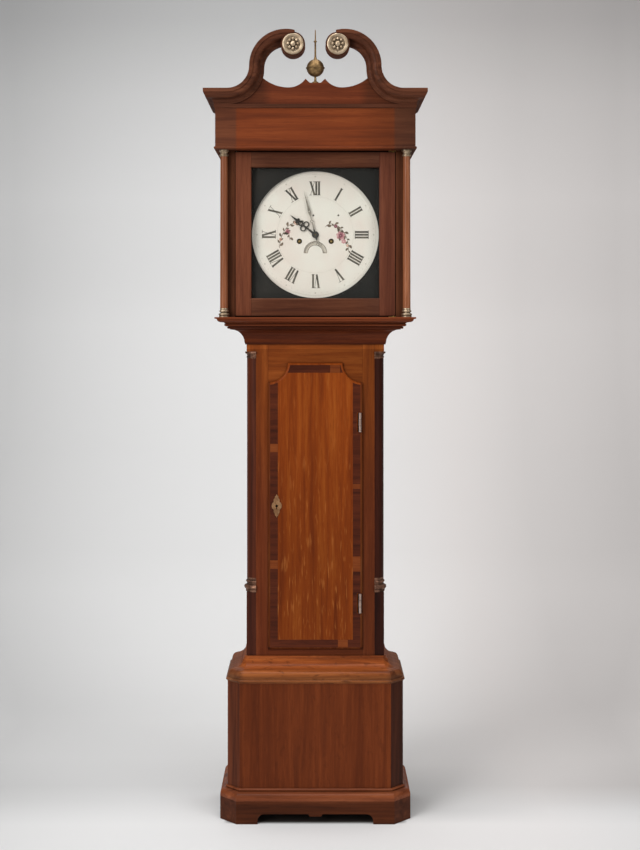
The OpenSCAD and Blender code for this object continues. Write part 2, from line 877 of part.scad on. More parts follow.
module rosettes() {
    r = rosette_r;
    face = frieze_d + boss_t;
    color("gold") both() {
        translate([boss_x, wall_y - face, boss_z]) rotate([90, 0, 0]) rotate_extrude() polygon(concat(
            [[0, 0], [r, 0], [r, 2]],
            bend([r, 2], [r * 0.86, rosette_t * 0.45], true),
            bend([r * 0.8, rosette_t * 0.42], [r * 0.66, rosette_t * 0.25], false),
            [[r * 0.62, rosette_t * 0.25]],
            bend([r * 0.3, rosette_t * 0.25], [0, rosette_t], true)
        ));
        for (i = [0 : 7])
            translate([boss_x, wall_y - face - r * 0.16, boss_z]) rotate([0, i * 45, 0])
                translate([r * 0.45, 0, 0]) sphere(r = r * 0.15);
    }
}

module finial() {
    ball = 39;
    h = finial_h;
    color("darkgoldenrod") {
        turned(0, frieze_d - pediment_t / 2, seat_z, concat(
            [[0, 0], [8, 0], [8, 3], [3.4, 5], [2.8, 12], [2.8, ball]],
            [[finial_r + 1.5, ball - 1.5], [finial_r + 1.5, ball + 1.5], [9.5, ball + 3]],
            bend([9.5, ball + finial_r * 0.8], [2.4, ball + finial_r * 1.5], false),
            bead(2.2, h - 34, h - 30),
            [[1.7, h - 26], [1.2, h - 4], [0, h]]
        ));
        translate([0, wall_y - frieze_d + pediment_t / 2, seat_z + ball]) sphere(r = finial_r);
    }
}

module hood_columns() {
    color("peru") both()
        turned(column_x, hood_column_d, floor_z + hood_brass_base_h, [
            [0, 0], [column_r, 0],
            [column_r * 0.92, hood_open_h - hood_brass_base_h - hood_brass_cap_h],
            [0, hood_open_h - hood_brass_base_h - hood_brass_cap_h]
        ]);
}

module hood_column_brasses() {
    b = hood_brass_base_h;
    c = hood_brass_cap_h;
    r = column_r;
    color("darkgoldenrod") both() {
        turned(column_x, hood_column_d, floor_z, concat(
            [[0, 0], [r + 3, 0], [r + 3, b * 0.15]],
            bead(r + 0.4, b * 0.15, b * 0.45),
            [[r - 1, b * 0.5], [r - 1, b * 0.55]],
            bead(r - 0.4, b * 0.55, b * 0.8),
            [[r + 0.6, b * 0.85], [r + 0.6, b], [0, b]]
        ));
        turned(column_x, hood_column_d, frieze_z - c, concat(
            [[0, 0], [r, 0]],
            bead(r, c * 0.1, c * 0.32),
            [[r - 0.6, c * 0.4]],
            bend([r - 0.6, c * 0.4], [r + 2.6, c * 0.78], true),
            [[r + 3, c * 0.8], [r + 3, c], [0, c]]
        ));
    }
}

module dial_mask() {
    color("black") upright(mask_front - mask_t, mask_front) difference() {
        translate([-hood_x + board_t, floor_z]) square([hood_w - 2 * board_t, hood_open_h]);
        translate([0, hands_z]) circle(r = mask_r, $fn = 128);
    }
}

// Hood door

// Room in front of the glass, widened at the front by a rounded edge, as [distance, depth]
function splay(reach) =
    let (edge = bend([reach, hood_d - edge_r], [reach + edge_r, hood_d], true))
    concat(
        edge,
        [[reach + edge_r, hood_d + 1], [-reach - edge_r, hood_d + 1]],
        [for (i = [len(edge) - 1 : -1 : 0]) [-edge[i][0], edge[i][1]]]
    );

module hood_door_frame() {
    glass_x = glass_w / 2;
    color("brown") difference() {
        slab(-hood_door_x, hood_door_x, stile_d, hood_d, hood_door_z, hood_door_top);
        slab(-glass_x, glass_x, stile_d - 1, hood_d + 1, glass_z, glass_top);
        // rounded edge round the opening
        intersection() {
            translate([0, wall_y, glass_z - 20]) linear_extrude(glass_top - glass_z + 40)
                polygon([for (p = splay(glass_x)) [p[0], -p[1]]]);
            translate([-glass_x - 20, wall_y, (glass_z + glass_top) / 2]) rotate([90, 0, 90])
                linear_extrude(2 * glass_x + 40)
                    polygon([for (p = splay((glass_top - glass_z) / 2)) [-p[1], p[0]]]);
        }
        // rebate that holds the glass
        slab(-glass_x - 5, glass_x + 5, stile_d - 1, stile_d + glass_t, glass_z - 5, glass_top + 5);
        for (z = [hood_door_z, hood_door_top])
            post(pivot_x, pivot_d, pivot_r + run_gap, z - 8, z + 8);
    }
}

module hood_glass() {
    glass_x = glass_w / 2 + 4.7;
    color("lightcyan")
        slab(-glass_x, glass_x, stile_d + 0.2, stile_d + glass_t, glass_z - 4.7, glass_top + 4.7);
}

module hood_door_pivots() {
    color("goldenrod") {
        post(pivot_x, pivot_d, pivot_r, floor_z, hood_door_z + 7);
        post(pivot_x, pivot_d, pivot_r, hood_door_top - 7, frieze_z);
        // plates let into the hood above and below the door
        plate = hood_door_x + hood_gap - slide_gap;
        slab(plate - 18, plate, pivot_d - 9, pivot_d + 4, floor_z, floor_z + 1.5);
        slab(plate - 18, plate, pivot_d - 9, pivot_d + 4, frieze_z - 1.5, frieze_z);
    }
}

// Trunk door

// Front half of the lip's section, as [distance from the middle, depth]
function lip_section(reach) = concat(
    [[-reach, trunk_d], [-reach, trunk_d + 2]],
    [for (p = bend([-reach, trunk_d + 2], [-reach + 6, door_face], true)) p],
    [for (p = bend([reach - 6, door_face], [reach, trunk_d + 2], false)) p],
    [[reach, trunk_d]]
);

module door_leaf() {
    // lip with a thumb-moulded edge
    difference() {
        intersection() {
            translate([0, wall_y, door_z]) linear_extrude(door_h)
                polygon([for (p = lip_section(door_x)) [p[0], -p[1]]]);
            translate([-door_x, wall_y, door_z + door_h / 2]) rotate([90, 0, 90]) linear_extrude(door_w)
                polygon([for (p = lip_section(door_h / 2)) [-p[1], p[0]]]);
        }
        for (side = [-1, 1]) translate([side * door_x, wall_y, door_top]) rotate([90, 0, 0])
            rotate_extrude() polygon(concat(
                [[0, trunk_d - 1], [door_hollow, trunk_d - 1], [door_hollow, trunk_d + 2]],
                bend([door_hollow, trunk_d + 2], [door_hollow + thumb, door_face], true),
                [[door_hollow + thumb, door_face + 1], [0, door_face + 1]]
            ));
    }
    // body that fills the opening in the frame
    upright(frame_back, trunk_d) door_outline(lip_w + door_gap);
}

module trunk_door() {
    color("peru") difference() {
        door_leaf();
        hinge_cuts(0);
        // the hinged edge of the lip is rounded at the back so that it clears the frame
        difference() {
            slab(hinge_x, door_x + 1, trunk_d - 1, door_face + 1, door_z - 1, door_top + 1);
            post(hinge_x, hinge_d, hinge_swing, door_z - 2, door_top + 2);
        }
        upright(door_face - 1.2, door_face + 1) banding_outline();
        rod(-keyhole_x, keyhole_z, keyhole_r, frame_back - 1, door_face + 1);
        slab(-keyhole_x - 1.3, -keyhole_x + 1.3, frame_back - 1, door_face + 1,
             keyhole_z - 9, keyhole_z);
    }
}

// Outline of the crossbanding just inside the moulded edge, in straight strips
module banding_outline() {
    difference() {
        door_outline(thumb);
        translate([-door_x + thumb + band_w, door_z + thumb + band_w])
            square([door_w - 2 * (thumb + band_w), door_h - 2 * (thumb + band_w)]);
        translate([-keyhole_x, keyhole_z]) circle(r = keyhole_r + 1);
        for (z = hinges_z) translate([hole_x - leaf_t - hinge_r - 2, z - hinge_h / 2 - 1])
            square([40, hinge_h + 2]);
    }
}

module door_crossbanding() {
    color("maroon") upright(door_face - 1.2, door_face) banding_outline();
}

module escutcheon() {
    color("darkgoldenrod") upright(door_face, door_face + 1.5) translate([-keyhole_x, keyhole_z])
        difference() {
            union() {
                circle(r = 13);
                for (side = [-1, 1]) {
                    translate([0, side * 14]) circle(r = 8);
                    translate([0, side * 22]) circle(r = 5);
                    polygon([[-4 * side, side * 22], [4 * side, side * 22], [0, side * 31]]);
                }
            }
            circle(r = keyhole_r);
            translate([-1.3, -9]) square([2.6, 9]);
            for (side = [-1, 1]) translate([0, side * 20]) circle(r = 1.2);
        }
}

module trunk_hinge_door_leaves() {
    color("goldenrod") hinge_leaf(0);
}

module trunk_lock() {
    color("slategray") difference() {
        slab(lock_x, lock_x + lock_w, frame_back - lock_t, frame_back,
             keyhole_z - lock_h / 2, keyhole_z + lock_h / 2);
        slab(lock_x - 1, lock_x + lock_w - 8,
             bolt_d - bolt_w / 2 - slide_gap, bolt_d + bolt_w / 2 + slide_gap,
             keyhole_z - bolt_h / 2 - slide_gap, keyhole_z + bolt_h / 2 + slide_gap);
        rod(-keyhole_x, keyhole_z, keyhole_r, frame_back - lock_t / 2, frame_back + 1);
    }
}

module lock_bolt() {
    color("gray") slab(lock_x, lock_x + 24, bolt_d - bolt_w / 2, bolt_d + bolt_w / 2,
                       keyhole_z - bolt_h / 2, keyhole_z + bolt_h / 2);
}

// Movement

// Pivot hole through a plate
module pivot_hole(x, z, r = arbor_r) {
    rod(x, z, r + run_gap, back_plate_d - 1, front_plate_d + 1);
}

module movement_plates() {
    color("gold") {
        difference() {
            for (d = [back_plate_d, inside_front])
                slab(-plate_w, plate_w, d, d + plate_t, seat_top, hands_z + plate_up);
            pivot_hole(0, hands_z);
            pivot_hole(third_x, third_z);
            pivot_hole(0, escape_z);
            pivot_hole(0, pallet_z);
            pivot_hole(pin_x, pin_z);
            pivot_hole(-hammer_x, hammer_z);
            for (side = [-1, 1]) pivot_hole(side * barrel_x, barrel_z, barrel_arbor_r);
        }
        for (x = [-1, 1], z = [seat_top + 9, hands_z + plate_up - 10])
            translate([x * (plate_w - 9), wall_y - inside_back, z]) rotate([90, 0, 0]) rotate_extrude() {
                polygon([[0, 0], [6, 0], [6, 4], [4, 7], [4, plate_span - 7], [6, plate_span - 4],
                         [6, plate_span], [0, plate_span]]);
            }
    }
}

module dial() {
    color("ivory") difference() {
        rod(0, hands_z, dial_r, dial_d - dial_t, dial_d, $fn = 128);
        rod(0, hands_z, 6, dial_d - dial_t - 1, dial_d + 1);
        for (side = [-1, 1]) rod(side * barrel_x, barrel_z, wind_hole_r, dial_d - dial_t - 1, dial_d + 1);
        // arched window that shows the date
        upright(dial_d - dial_t - 1, dial_d + 1) translate([0, date_z]) difference() {
            circle(r = date_r - 1.5);
            circle(r = date_r - 9);
            translate([-far, -far]) square([2 * far, far]);
        }
    }
    color("gray") {
        for (x = [-1, 1], z = [-1, 1])
            rod(x * (plate_w - 14), hands_z + z * 60, 3, front_plate_d, dial_d - dial_t);
        // stud of the date disc
        rod(0, date_z, 2, date_d - 2, dial_d - dial_t);
    }
}

module back_cock() {
    color("gold") {
        pair(16, 24, pendulum_d - 8, back_plate_d, pallet_z - 6, pallet_z + 20);
        slab(-24, 24, pendulum_d - 8, pendulum_d + 8, pallet_z + 12, pallet_z + 20);
        // top of the suspension spring with its clamp, down to where it bends
        slab(-spring_t / 2, spring_t / 2, pendulum_d - 5, pendulum_d + 5, pallet_z, pallet_z + 13);
        slab(-5, 5, pendulum_d - 5, pendulum_d + 5, pallet_z + 19, pallet_z + 24);
    }
}

module bell() {
    top = bell_r * 0.62;
    color("lightgoldenrodyellow") turned(bell_x, bell_d, bell_z, concat(
        bend([bell_r, 0], [bell_r * 0.2, top], true),
        [[3, top], [3, top - 2], [bell_r * 0.2, top - 2]],
        bend([bell_r * 0.2, top - 2], [bell_r - 2, 0], false)
    ));
    color("gray") {
        // stand on the back plate, with the screw that holds the bell
        slab(-4, 4, back_plate_d - 4, back_plate_d, hands_z + plate_up - 20, bell_z - 6);
        slab(-4, bell_x + 4, back_plate_d - 4, back_plate_d, bell_z - 12, bell_z - 6);
        slab(bell_x - 4, bell_x + 4, back_plate_d - 4, bell_d + 4, bell_z - 10, bell_z - 6);
        post(bell_x, bell_d, 4, bell_z - 7, bell_z + top + 4);
    }
}

// Pendulum and escapement

module pendulum_rod() {
    color("silver") {
        slab(-spring_t / 2, spring_t / 2, pendulum_d - 5, pendulum_d + 5,
             pallet_z - 30, pallet_z - slide_gap);
        slab(-3, 3, pendulum_d - 5, pendulum_d + 5, pallet_z - 45, pallet_z - 29);
        post(0, pendulum_d, 2.5, pallet_z - pendulum_len - bob_r - 20, pallet_z - 45);
        post(0, pendulum_d, 7, pallet_z - pendulum_len - bob_r - 12, pallet_z - pendulum_len - bob_r - 2);
    }
}

module pendulum_bob() {
    z = pallet_z - pendulum_len;
    color("goldenrod") difference() {
        translate([0, wall_y - pendulum_d, z]) rotate([90, 0, 0]) rotate_extrude() polygon(concat(
            [[0, -bob_t / 2]],
            bend([bob_r * 0.3, -bob_t / 2], [bob_r, -1.5], false),
            bend([bob_r, 1.5], [bob_r * 0.3, bob_t / 2], true),
            [[0, bob_t / 2]]
        ));
        post(0, pendulum_d, 2.5, z - bob_r - 1, z + bob_r + 1);
    }
}

// Anchor over the escape wheel, with its arbor and the crutch behind the back plate
module pallets() {
    drop = pallet_rise - (escape_z - hands_z);
    color("silver") {
        rod(0, pallet_z, arbor_r, pendulum_d + 6, front_plate_d);
        rod(0, pallet_z, 2.6, inside_back + shoulder, inside_front - shoulder);
        difference() {
            upright(escape_d, escape_d + 4) translate([0, pallet_z]) union() {
                difference() {
                    translate([0, -drop]) circle(r = escape_r + 6);
                    translate([0, -drop]) circle(r = escape_r + 1.6);
                    translate([-far, -drop - far + 7]) square([2 * far, far]);
                }
                polygon([[-4, -drop + escape_r + 2], [-2.6, 0], [2.6, 0], [4, -drop + escape_r + 2]]);
            }
        }
        // crutch
        slab(-2, 2, pendulum_d + 6, pendulum_d + 9, pallet_z - 110, pallet_z);
        difference() {
            slab(-7, 7, pendulum_d - 8, pendulum_d + 8, pallet_z - 113, pallet_z - 107);
            slab(-2.5 - slide_gap, 2.5 + slide_gap, pendulum_d - 9, pendulum_d + 3,
                 pallet_z - 114, pallet_z - 106);
        }
    }
}

module arbor(x, z) {
    rod(x, z, arbor_r, back_plate_d, front_plate_d);
    rod(x, z, arbor_r + collar_t, inside_back + shoulder, inside_front - shoulder);
}

module escape_wheel() {
    color("gold") {
        arbor(0, escape_z);
        pinion(0, escape_z, escape_leaves, third_m, third_d - 1.5, 6,
               atan2(third_z - escape_z, third_x));
        difference() {
            translate([0, wall_y - escape_d - 1, escape_z]) rotate([90, 0, 0]) linear_extrude(1.5)
                polygon([
                    for (i = [0 : escape_teeth - 1])
                        for (p = [[escape_r, 0], [escape_r - 0.1, 1.2],
                                  [escape_r - 3.4, 3.2], [escape_r - 3.4, 9.5]])
                            p[0] * [cos(i * 12 + p[1]), sin(i * 12 + p[1])]
                ]);
            crossings(0, escape_z, 4, 8.6, escape_d + 1, 1.5);
        }
    }
}

module third_wheel() {
    toward = atan2(escape_z - third_z, -third_x);
    color("gold") {
        arbor(third_x, third_z);
        pinion(third_x, third_z, leaves, centre_m, centre_d - 1.5, 6,
               atan2(hands_z - third_z, -third_x));
        difference() {
            gear(third_x, third_z, third_teeth, third_m, third_d, wheel_t, toward);
            crossings(third_x, third_z, 5, 18, third_d, wheel_t);
        }
    }
}

module centre_wheel() {
    color("gold") {
        rod(0, hands_z, arbor_r, back_plate_d, minute_hand_d + hand_t + 1);
        rod(0, hands_z, arbor_r + collar_t, inside_back + shoulder, inside_front - shoulder);
        pinion(0, hands_z, leaves, great_m, great_d - 1.5, 5.5, atan2(barrel_z - hands_z, barrel_x));
        difference() {
            gear(0, hands_z, centre_teeth, centre_m, centre_d, wheel_t, atan2(third_z - hands_z, third_x));
            crossings(0, hands_z, 6, 22, centre_d, wheel_t);
        }
    }
}

module minute_hand() {
    color("darkgoldenrod") {
        // cannon pipe and its wheel
        difference() {
            union() {
                rod(0, hands_z, cannon_r, front_plate_d + 1, minute_hand_d);
                gear(0, hands_z, motion_teeth, motion_m, cannon_d, wheel_t, -90);
            }
            rod(0, hands_z, arbor_r, front_plate_d, minute_hand_d + 1);
        }
        upright(minute_hand_d, minute_hand_d + hand_t) translate([0, hands_z]) rotate([0, 0, minute_angle])
            difference() {
                union() {
                    circle(r = 7);
                    polygon([[-3, 0], [-1.5, -26], [1.5, -26], [3, 0]]);
                    polygon([[-2.4, 0], [-1.2, minute_len * 0.4], [-3.8, minute_len * 0.52],
                             [-2.6, minute_len * 0.62], [0, minute_len], [2.6, minute_len * 0.62],
                             [3.8, minute_len * 0.52], [1.2, minute_len * 0.4], [2.4, 0]]);
                    translate([0, -26]) circle(r = 4);
                    translate([0, minute_len * 0.3]) circle(r = 4.5);
                }
                circle(r = arbor_r);
                translate([0, minute_len * 0.3]) circle(r = 2.5);
                translate([0, minute_len * 0.53]) circle(r = 1.6);
                translate([0, -26]) circle(r = 2);
            }
    }
}

module going_great_wheel() {
    toward = atan2(hands_z - barrel_z, -barrel_x);
    color("gold") difference() {
        gear(barrel_x, barrel_z, great_teeth, great_m, great_d, wheel_t, toward);
        rod(barrel_x, barrel_z, barrel_arbor_r + run_gap, great_d - 1, great_d + wheel_t + 1);
        crossings(barrel_x, barrel_z, 10, 35, great_d, wheel_t, 6);
    }
}

module minute_wheel() {
    z = hands_z - motion_reach;
    color("gold") {
        gear(0, z, motion_teeth, motion_m, cannon_d, wheel_t, 90 + 180 / motion_teeth);
        pinion(0, z, hour_leaves, hour_m, cannon_d, 9, 90);
        rod(0, z, 1.2, front_plate_d, cannon_d);
    }
}

module hour_hand() {
    color("darkslategray") {
        difference() {
            union() {
                rod(0, hands_z, pipe_r, hour_wheel_d, hour_hand_d);
                gear(0, hands_z, hour_teeth, hour_m, hour_wheel_d, wheel_t, -90);
                upright(hour_hand_d, hour_hand_d + hand_t) translate([0, hands_z]) rotate([0, 0, hour_angle])
                    hour_blade();
            }
            rod(0, hands_z, cannon_r + run_gap, hour_wheel_d - 1, hour_hand_d + hand_t + 1);
        }
    }
}

// Pierced blade of the hour hand, pointing up from its hub
module hour_blade() {
    difference() {
        union() {
            circle(r = 9);
            polygon([[-3, 0], [-2, hour_len * 0.42], [2, hour_len * 0.42], [3, 0]]);
            for (side = [-1, 1]) translate([side * 6.5, hour_len * 0.42]) circle(r = 8);
            translate([0, hour_len * 0.58]) circle(r = 7);
            for (side = [-1, 1]) translate([side * 4, hour_len * 0.7]) circle(r = 3.5);
            polygon([[-5, hour_len * 0.6], [0, hour_len], [5, hour_len * 0.6]]);
        }
        for (side = [-1, 1]) translate([side * 7, hour_len * 0.42]) circle(r = 5);
        translate([0, hour_len * 0.58]) circle(r = 3.6);
    }
}

module date_disc() {
    color("white") difference() {
        rod(0, date_z, date_r, date_d, date_d + 1.5);
        rod(0, date_z, 2 + run_gap, date_d - 1, date_d + 3);
    }
}

// Weights, lines and striking

// A weight with its hook and the fork that holds the pulley
module weight(side) {
    x = side * barrel_x;
    color("dimgray") {
        turned(x, barrel_mid, weight_rise, concat(
            [[0, 0], [weight_r - 3, 0]],
            bend([weight_r - 3, 0], [weight_r, 3], false, 4),
            bend([weight_r, weight_h - 5], [weight_r - 5, weight_h], true, 4),
            [[0, weight_h]]
        ));
    }
    color("goldenrod") {
        post(x, barrel_mid, 3, weight_top - 1, fork_z + 2);
        // fork
        slab(x - 6, x + 6, barrel_mid - 8, barrel_mid + 8, fork_z, fork_z + 4);
        for (d = [-8, 6])
            slab(x - 6, x + 6, barrel_mid + d, barrel_mid + d + 2, fork_z, pulley_z + 6);
        rod(x, pulley_z, 2, barrel_mid - 8, barrel_mid + 8);
    }
}
module going_weight() { weight(1); }
module strike_weight() { weight(-1); }

// Grooved pulley in the fork of a weight
module pulley(side) {
    r = pulley_r - line_r - slide_gap;
    color("gold") translate([side * barrel_x, wall_y - barrel_mid + pulley_t / 2, pulley_z])
        rotate([90, 0, 0]) rotate_extrude() polygon([
            [2 + run_gap, 0], [r + 3, 0], [r + 3, 0.8],
            [r, pulley_t / 2 - 1.2], [r, pulley_t / 2 + 1.2],
            [r + 3, pulley_t - 0.8], [r + 3, pulley_t], [2 + run_gap, pulley_t]
        ]);
}
module going_pulley() { pulley(1); }
module strike_pulley() { pulley(-1); }

// Gut line from the barrel down round the pulley and up to the seat board
module gut_line(side) {
    x = side * barrel_x;
    color("tan") {
        post(x - pulley_r, barrel_mid, line_r, pulley_z, barrel_z);
        post(x + pulley_r, barrel_mid, line_r, pulley_z, seat_low + 10);
        translate([x, wall_y - barrel_mid, pulley_z]) rotate([90, 0, 0]) rotate([0, 0, 180])
            rotate_extrude(angle = 180) translate([pulley_r, 0]) circle(r = line_r, $fn = 24);
    }
}
module going_line() { gut_line(1); }
module strike_line() { gut_line(-1); }

// Barrel with its arbor, end caps, ratchet and winding square
module barrel(side, ratchet_back) {
    x = side * barrel_x;
    w = square_w / 2;
    color("gold") {
        rod(x, barrel_z, barrel_arbor_r, back_plate_d, front_plate_d + 3);
        rod(x, barrel_z, barrel_r, barrel_back, barrel_front);
        for (d = [barrel_back, barrel_front - 1.5]) rod(x, barrel_z, barrel_r + 2.4, d, d + 1.5);
        rod(x, barrel_z, 12, ratchet_back, ratchet_back + 3);
        slab(x - w, x + w, front_plate_d, dial_d - dial_t - 1, barrel_z - w, barrel_z + w);
    }
}
module going_barrel() { barrel(1, barrel_front); }
module strike_barrel() { barrel(-1, barrel_back - 3); }

module strike_great_wheel() {
    toward = atan2(pin_z - barrel_z, pin_x + barrel_x);
    color("gold") difference() {
        gear(-barrel_x, barrel_z, strike_teeth, strike_m, strike_great_d, wheel_t, toward);
        rod(-barrel_x, barrel_z, barrel_arbor_r + run_gap, strike_great_d - 1, strike_great_d + wheel_t + 1);
        crossings(-barrel_x, barrel_z, 10, 28, strike_great_d, wheel_t, 6);
    }
}

module pin_wheel() {
    color("gold") {
        arbor(pin_x, pin_z);
        pinion(pin_x, pin_z, leaves, strike_m, strike_great_d - 1.5, 5.5,
               atan2(barrel_z - pin_z, -barrel_x - pin_x));
        gear(pin_x, pin_z, pin_teeth, pin_m, great_d, wheel_t, 0);
        for (i = [0 : 7])
            rod(pin_x + pin_ring * cos(i * 45), pin_z + pin_ring * sin(i * 45), 1, great_d - 5, great_d + 1);
    }
}

// Hammer on its own arbor, with the head beside the bell
module hammer() {
    head_z = bell_z + 2;
    reach = norm([pin_z - hammer_z, pin_x + hammer_x]) - pin_ring - 2;
    color("silver") {
        arbor(-hammer_x, hammer_z);
        slab(-hammer_x - 1.5, -hammer_x + 1.5, bell_d - 1.5, bell_d + 1.5, hammer_z, head_z);
        translate([bell_x - bell_r - 14, wall_y - bell_d, head_z]) rotate([0, 90, 0])
            cylinder(r = 5, h = 13);
        // tail that the pins lift
        upright(great_d - 5, great_d - 1) translate([-hammer_x, hammer_z])
            rotate([0, 0, atan2(pin_z - hammer_z, pin_x + hammer_x)]) translate([0, -2]) square([reach, 4]);
    }
}

backboard();
trunk_sides();
trunk_front_frame();
quarter_columns();
trunk_column_brasses();
throat_moulding();
base_top_moulding();
base_front_panel();
base_sides();
base_corner_posts();
plinth_moulding();
plinth_skirt();
seat_board();
trunk_hinge_case_leaves();
movement_plates();
dial();
back_cock();
bell();
hood_base_moulding();
hood_carcase();
frieze();
cornice();
pediment_board();
swan_necks();
rosettes();
finial();
hood_columns();
hood_column_brasses();
dial_mask();
hood_door_frame();
hood_glass();
hood_door_pivots();
trunk_door();
door_crossbanding();
escutcheon();
trunk_hinge_door_leaves();
trunk_lock();
lock_bolt();
pendulum_rod();
pendulum_bob();
pallets();
escape_wheel();
third_wheel();
centre_wheel();
minute_hand();
going_great_wheel();
minute_wheel();
hour_hand();
date_disc();
going_weight();
strike_weight();
going_barrel();
strike_barrel();
going_pulley();
strike_pulley();
going_line();
strike_line();
strike_great_wheel();
pin_wheel();
hammer();
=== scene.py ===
"""Looks of a tall oak and mahogany longcase clock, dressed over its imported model.

The front of the clock faces -Y, its foot stands on z = 0 and lengths are in metres.
"""

import logging
import math
from dataclasses import dataclass, field
from enum import Enum

import bmesh
import bpy
import numpy as np
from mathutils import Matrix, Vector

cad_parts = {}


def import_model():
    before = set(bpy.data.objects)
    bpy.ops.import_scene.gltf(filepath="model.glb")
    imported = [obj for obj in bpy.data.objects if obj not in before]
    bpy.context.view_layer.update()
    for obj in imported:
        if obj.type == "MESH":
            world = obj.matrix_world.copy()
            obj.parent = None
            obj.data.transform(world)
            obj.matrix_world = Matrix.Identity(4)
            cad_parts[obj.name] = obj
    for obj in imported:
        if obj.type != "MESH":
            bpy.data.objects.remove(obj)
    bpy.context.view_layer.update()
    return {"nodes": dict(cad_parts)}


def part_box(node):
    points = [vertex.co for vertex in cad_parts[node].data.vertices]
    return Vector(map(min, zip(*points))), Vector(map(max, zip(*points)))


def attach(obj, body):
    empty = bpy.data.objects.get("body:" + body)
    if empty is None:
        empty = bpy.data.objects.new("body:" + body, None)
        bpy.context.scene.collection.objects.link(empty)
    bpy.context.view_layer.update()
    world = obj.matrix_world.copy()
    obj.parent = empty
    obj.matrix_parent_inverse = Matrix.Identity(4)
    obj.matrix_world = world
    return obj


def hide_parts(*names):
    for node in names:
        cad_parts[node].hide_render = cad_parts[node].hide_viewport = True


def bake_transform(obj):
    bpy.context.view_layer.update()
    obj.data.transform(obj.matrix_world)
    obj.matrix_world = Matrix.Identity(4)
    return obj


logging.basicConfig(level=logging.INFO, format="%(name)s: %(message)s")
log = logging.getLogger("longcase_clock")

Socket = bpy.types.NodeSocket
Material = bpy.types.Material
Triple = tuple[float, float, float]
Colour = Triple
Span = tuple[float, float]
Stroke = tuple[np.ndarray, np.ndarray | float]
Drawing = tuple[np.ndarray, np.ndarray]
EDGE_SAMPLES = 4
SLIVER = 1e-5


def srgb(red: float, green: float, blue: float) -> Colour:
    """Turns a colour written from 0 to 255 into the linear values that shaders use.

    Args:
        red: Red from 0 to 255.
        green: Green from 0 to 255.
        blue: Blue from 0 to 255.

    Returns:
        The same colour as three linear values.
    """
    value = np.array([red, green, blue], dtype=float) / 255.0
    linear = np.where(value <= 0.04045, value / 12.92, ((value + 0.055) / 1.055) ** 2.4)
    return tuple(float(v) for v in linear)


def toned(colour: Colour, factor: float) -> Colour:
    """Gives a colour made darker or lighter by a factor, up to white."""
    return tuple(min(1.0, factor * part) for part in colour)


class Grain(Enum):
    """Direction in which the fibres of a board run."""

    ACROSS = 0
    DEEP = 1
    UPRIGHT = 2

    def stretch(self, squeeze: float) -> Triple:
        """Gives the scales that squeeze a pattern along the fibres."""
        return tuple(squeeze if axis == self.value else 1.0 for axis in range(3))


class Section(Enum):
    """Cross-section of a stroke: its four corners' places across and heights, as shares of its size."""

    RIDGE = ((-1.0, -0.55, 0.55, 1.0), (0.0, 1.0, 1.0, 0.0))
    PLATE = ((-1.0, -1.0, 1.0, 1.0), (0.0, 1.0, 1.0, 0.0))


@dataclass(frozen=True)
class Edge:
    """A soft edge along one axis, from nothing at the start to all at the stop."""

    axis: str
    start: float
    stop: float
    both_sides: bool = False


@dataclass(frozen=True)
class ToneAndShade(Edge):
    """A colour shift that sets in over a soft edge; some are true tones of the wood, others painted light
    and shade.
    """

    colour: Colour = (1.0, 1.0, 1.0)


@dataclass(frozen=True)
class ShadeAndLightPatch:
    """A patch of the sweep's paint held in by soft edges, used for painted light and painted shade."""

    colour: Colour
    edges: tuple[Edge, ...]


class Tree:
    """A node tree with a short way to add, set and join nodes."""

    def __init__(self, tree: bpy.types.NodeTree) -> None:
        """Empties a tree.

        Args:
            tree: The node tree of a material or a world.
        """
        self.tree = tree
        tree.nodes.clear()

    def fill(self, node: bpy.types.Node, sockets: dict[str | int, object]) -> None:
        """Joins or sets a node's input sockets.

        Args:
            node: The node.
            sockets: What goes into each socket, by its name or number.
        """
        for name, value in sockets.items():
            socket = node.inputs[name]
            if isinstance(value, Socket):
                self.tree.links.new(value, socket)
            elif socket.type == "RGBA":
                socket.default_value = (*value, 1.0)
            else:
                socket.default_value = float(value) if socket.type == "VALUE" else value

    def add(self, kind: str, sockets: dict[str | int, object] | None = None,
            **settings: object) -> bpy.types.Node:
        """Adds a shader node.

        Args:
            kind: Blender's name of the node.
            sockets: What goes into each socket, by its name or number.
            **settings: The node's own settings by name.

        Returns:
            The new node.
        """
        node = self.tree.nodes.new(kind)
        for name, value in settings.items():
            setattr(node, name, value)
        self.fill(node, sockets or {})
        return node


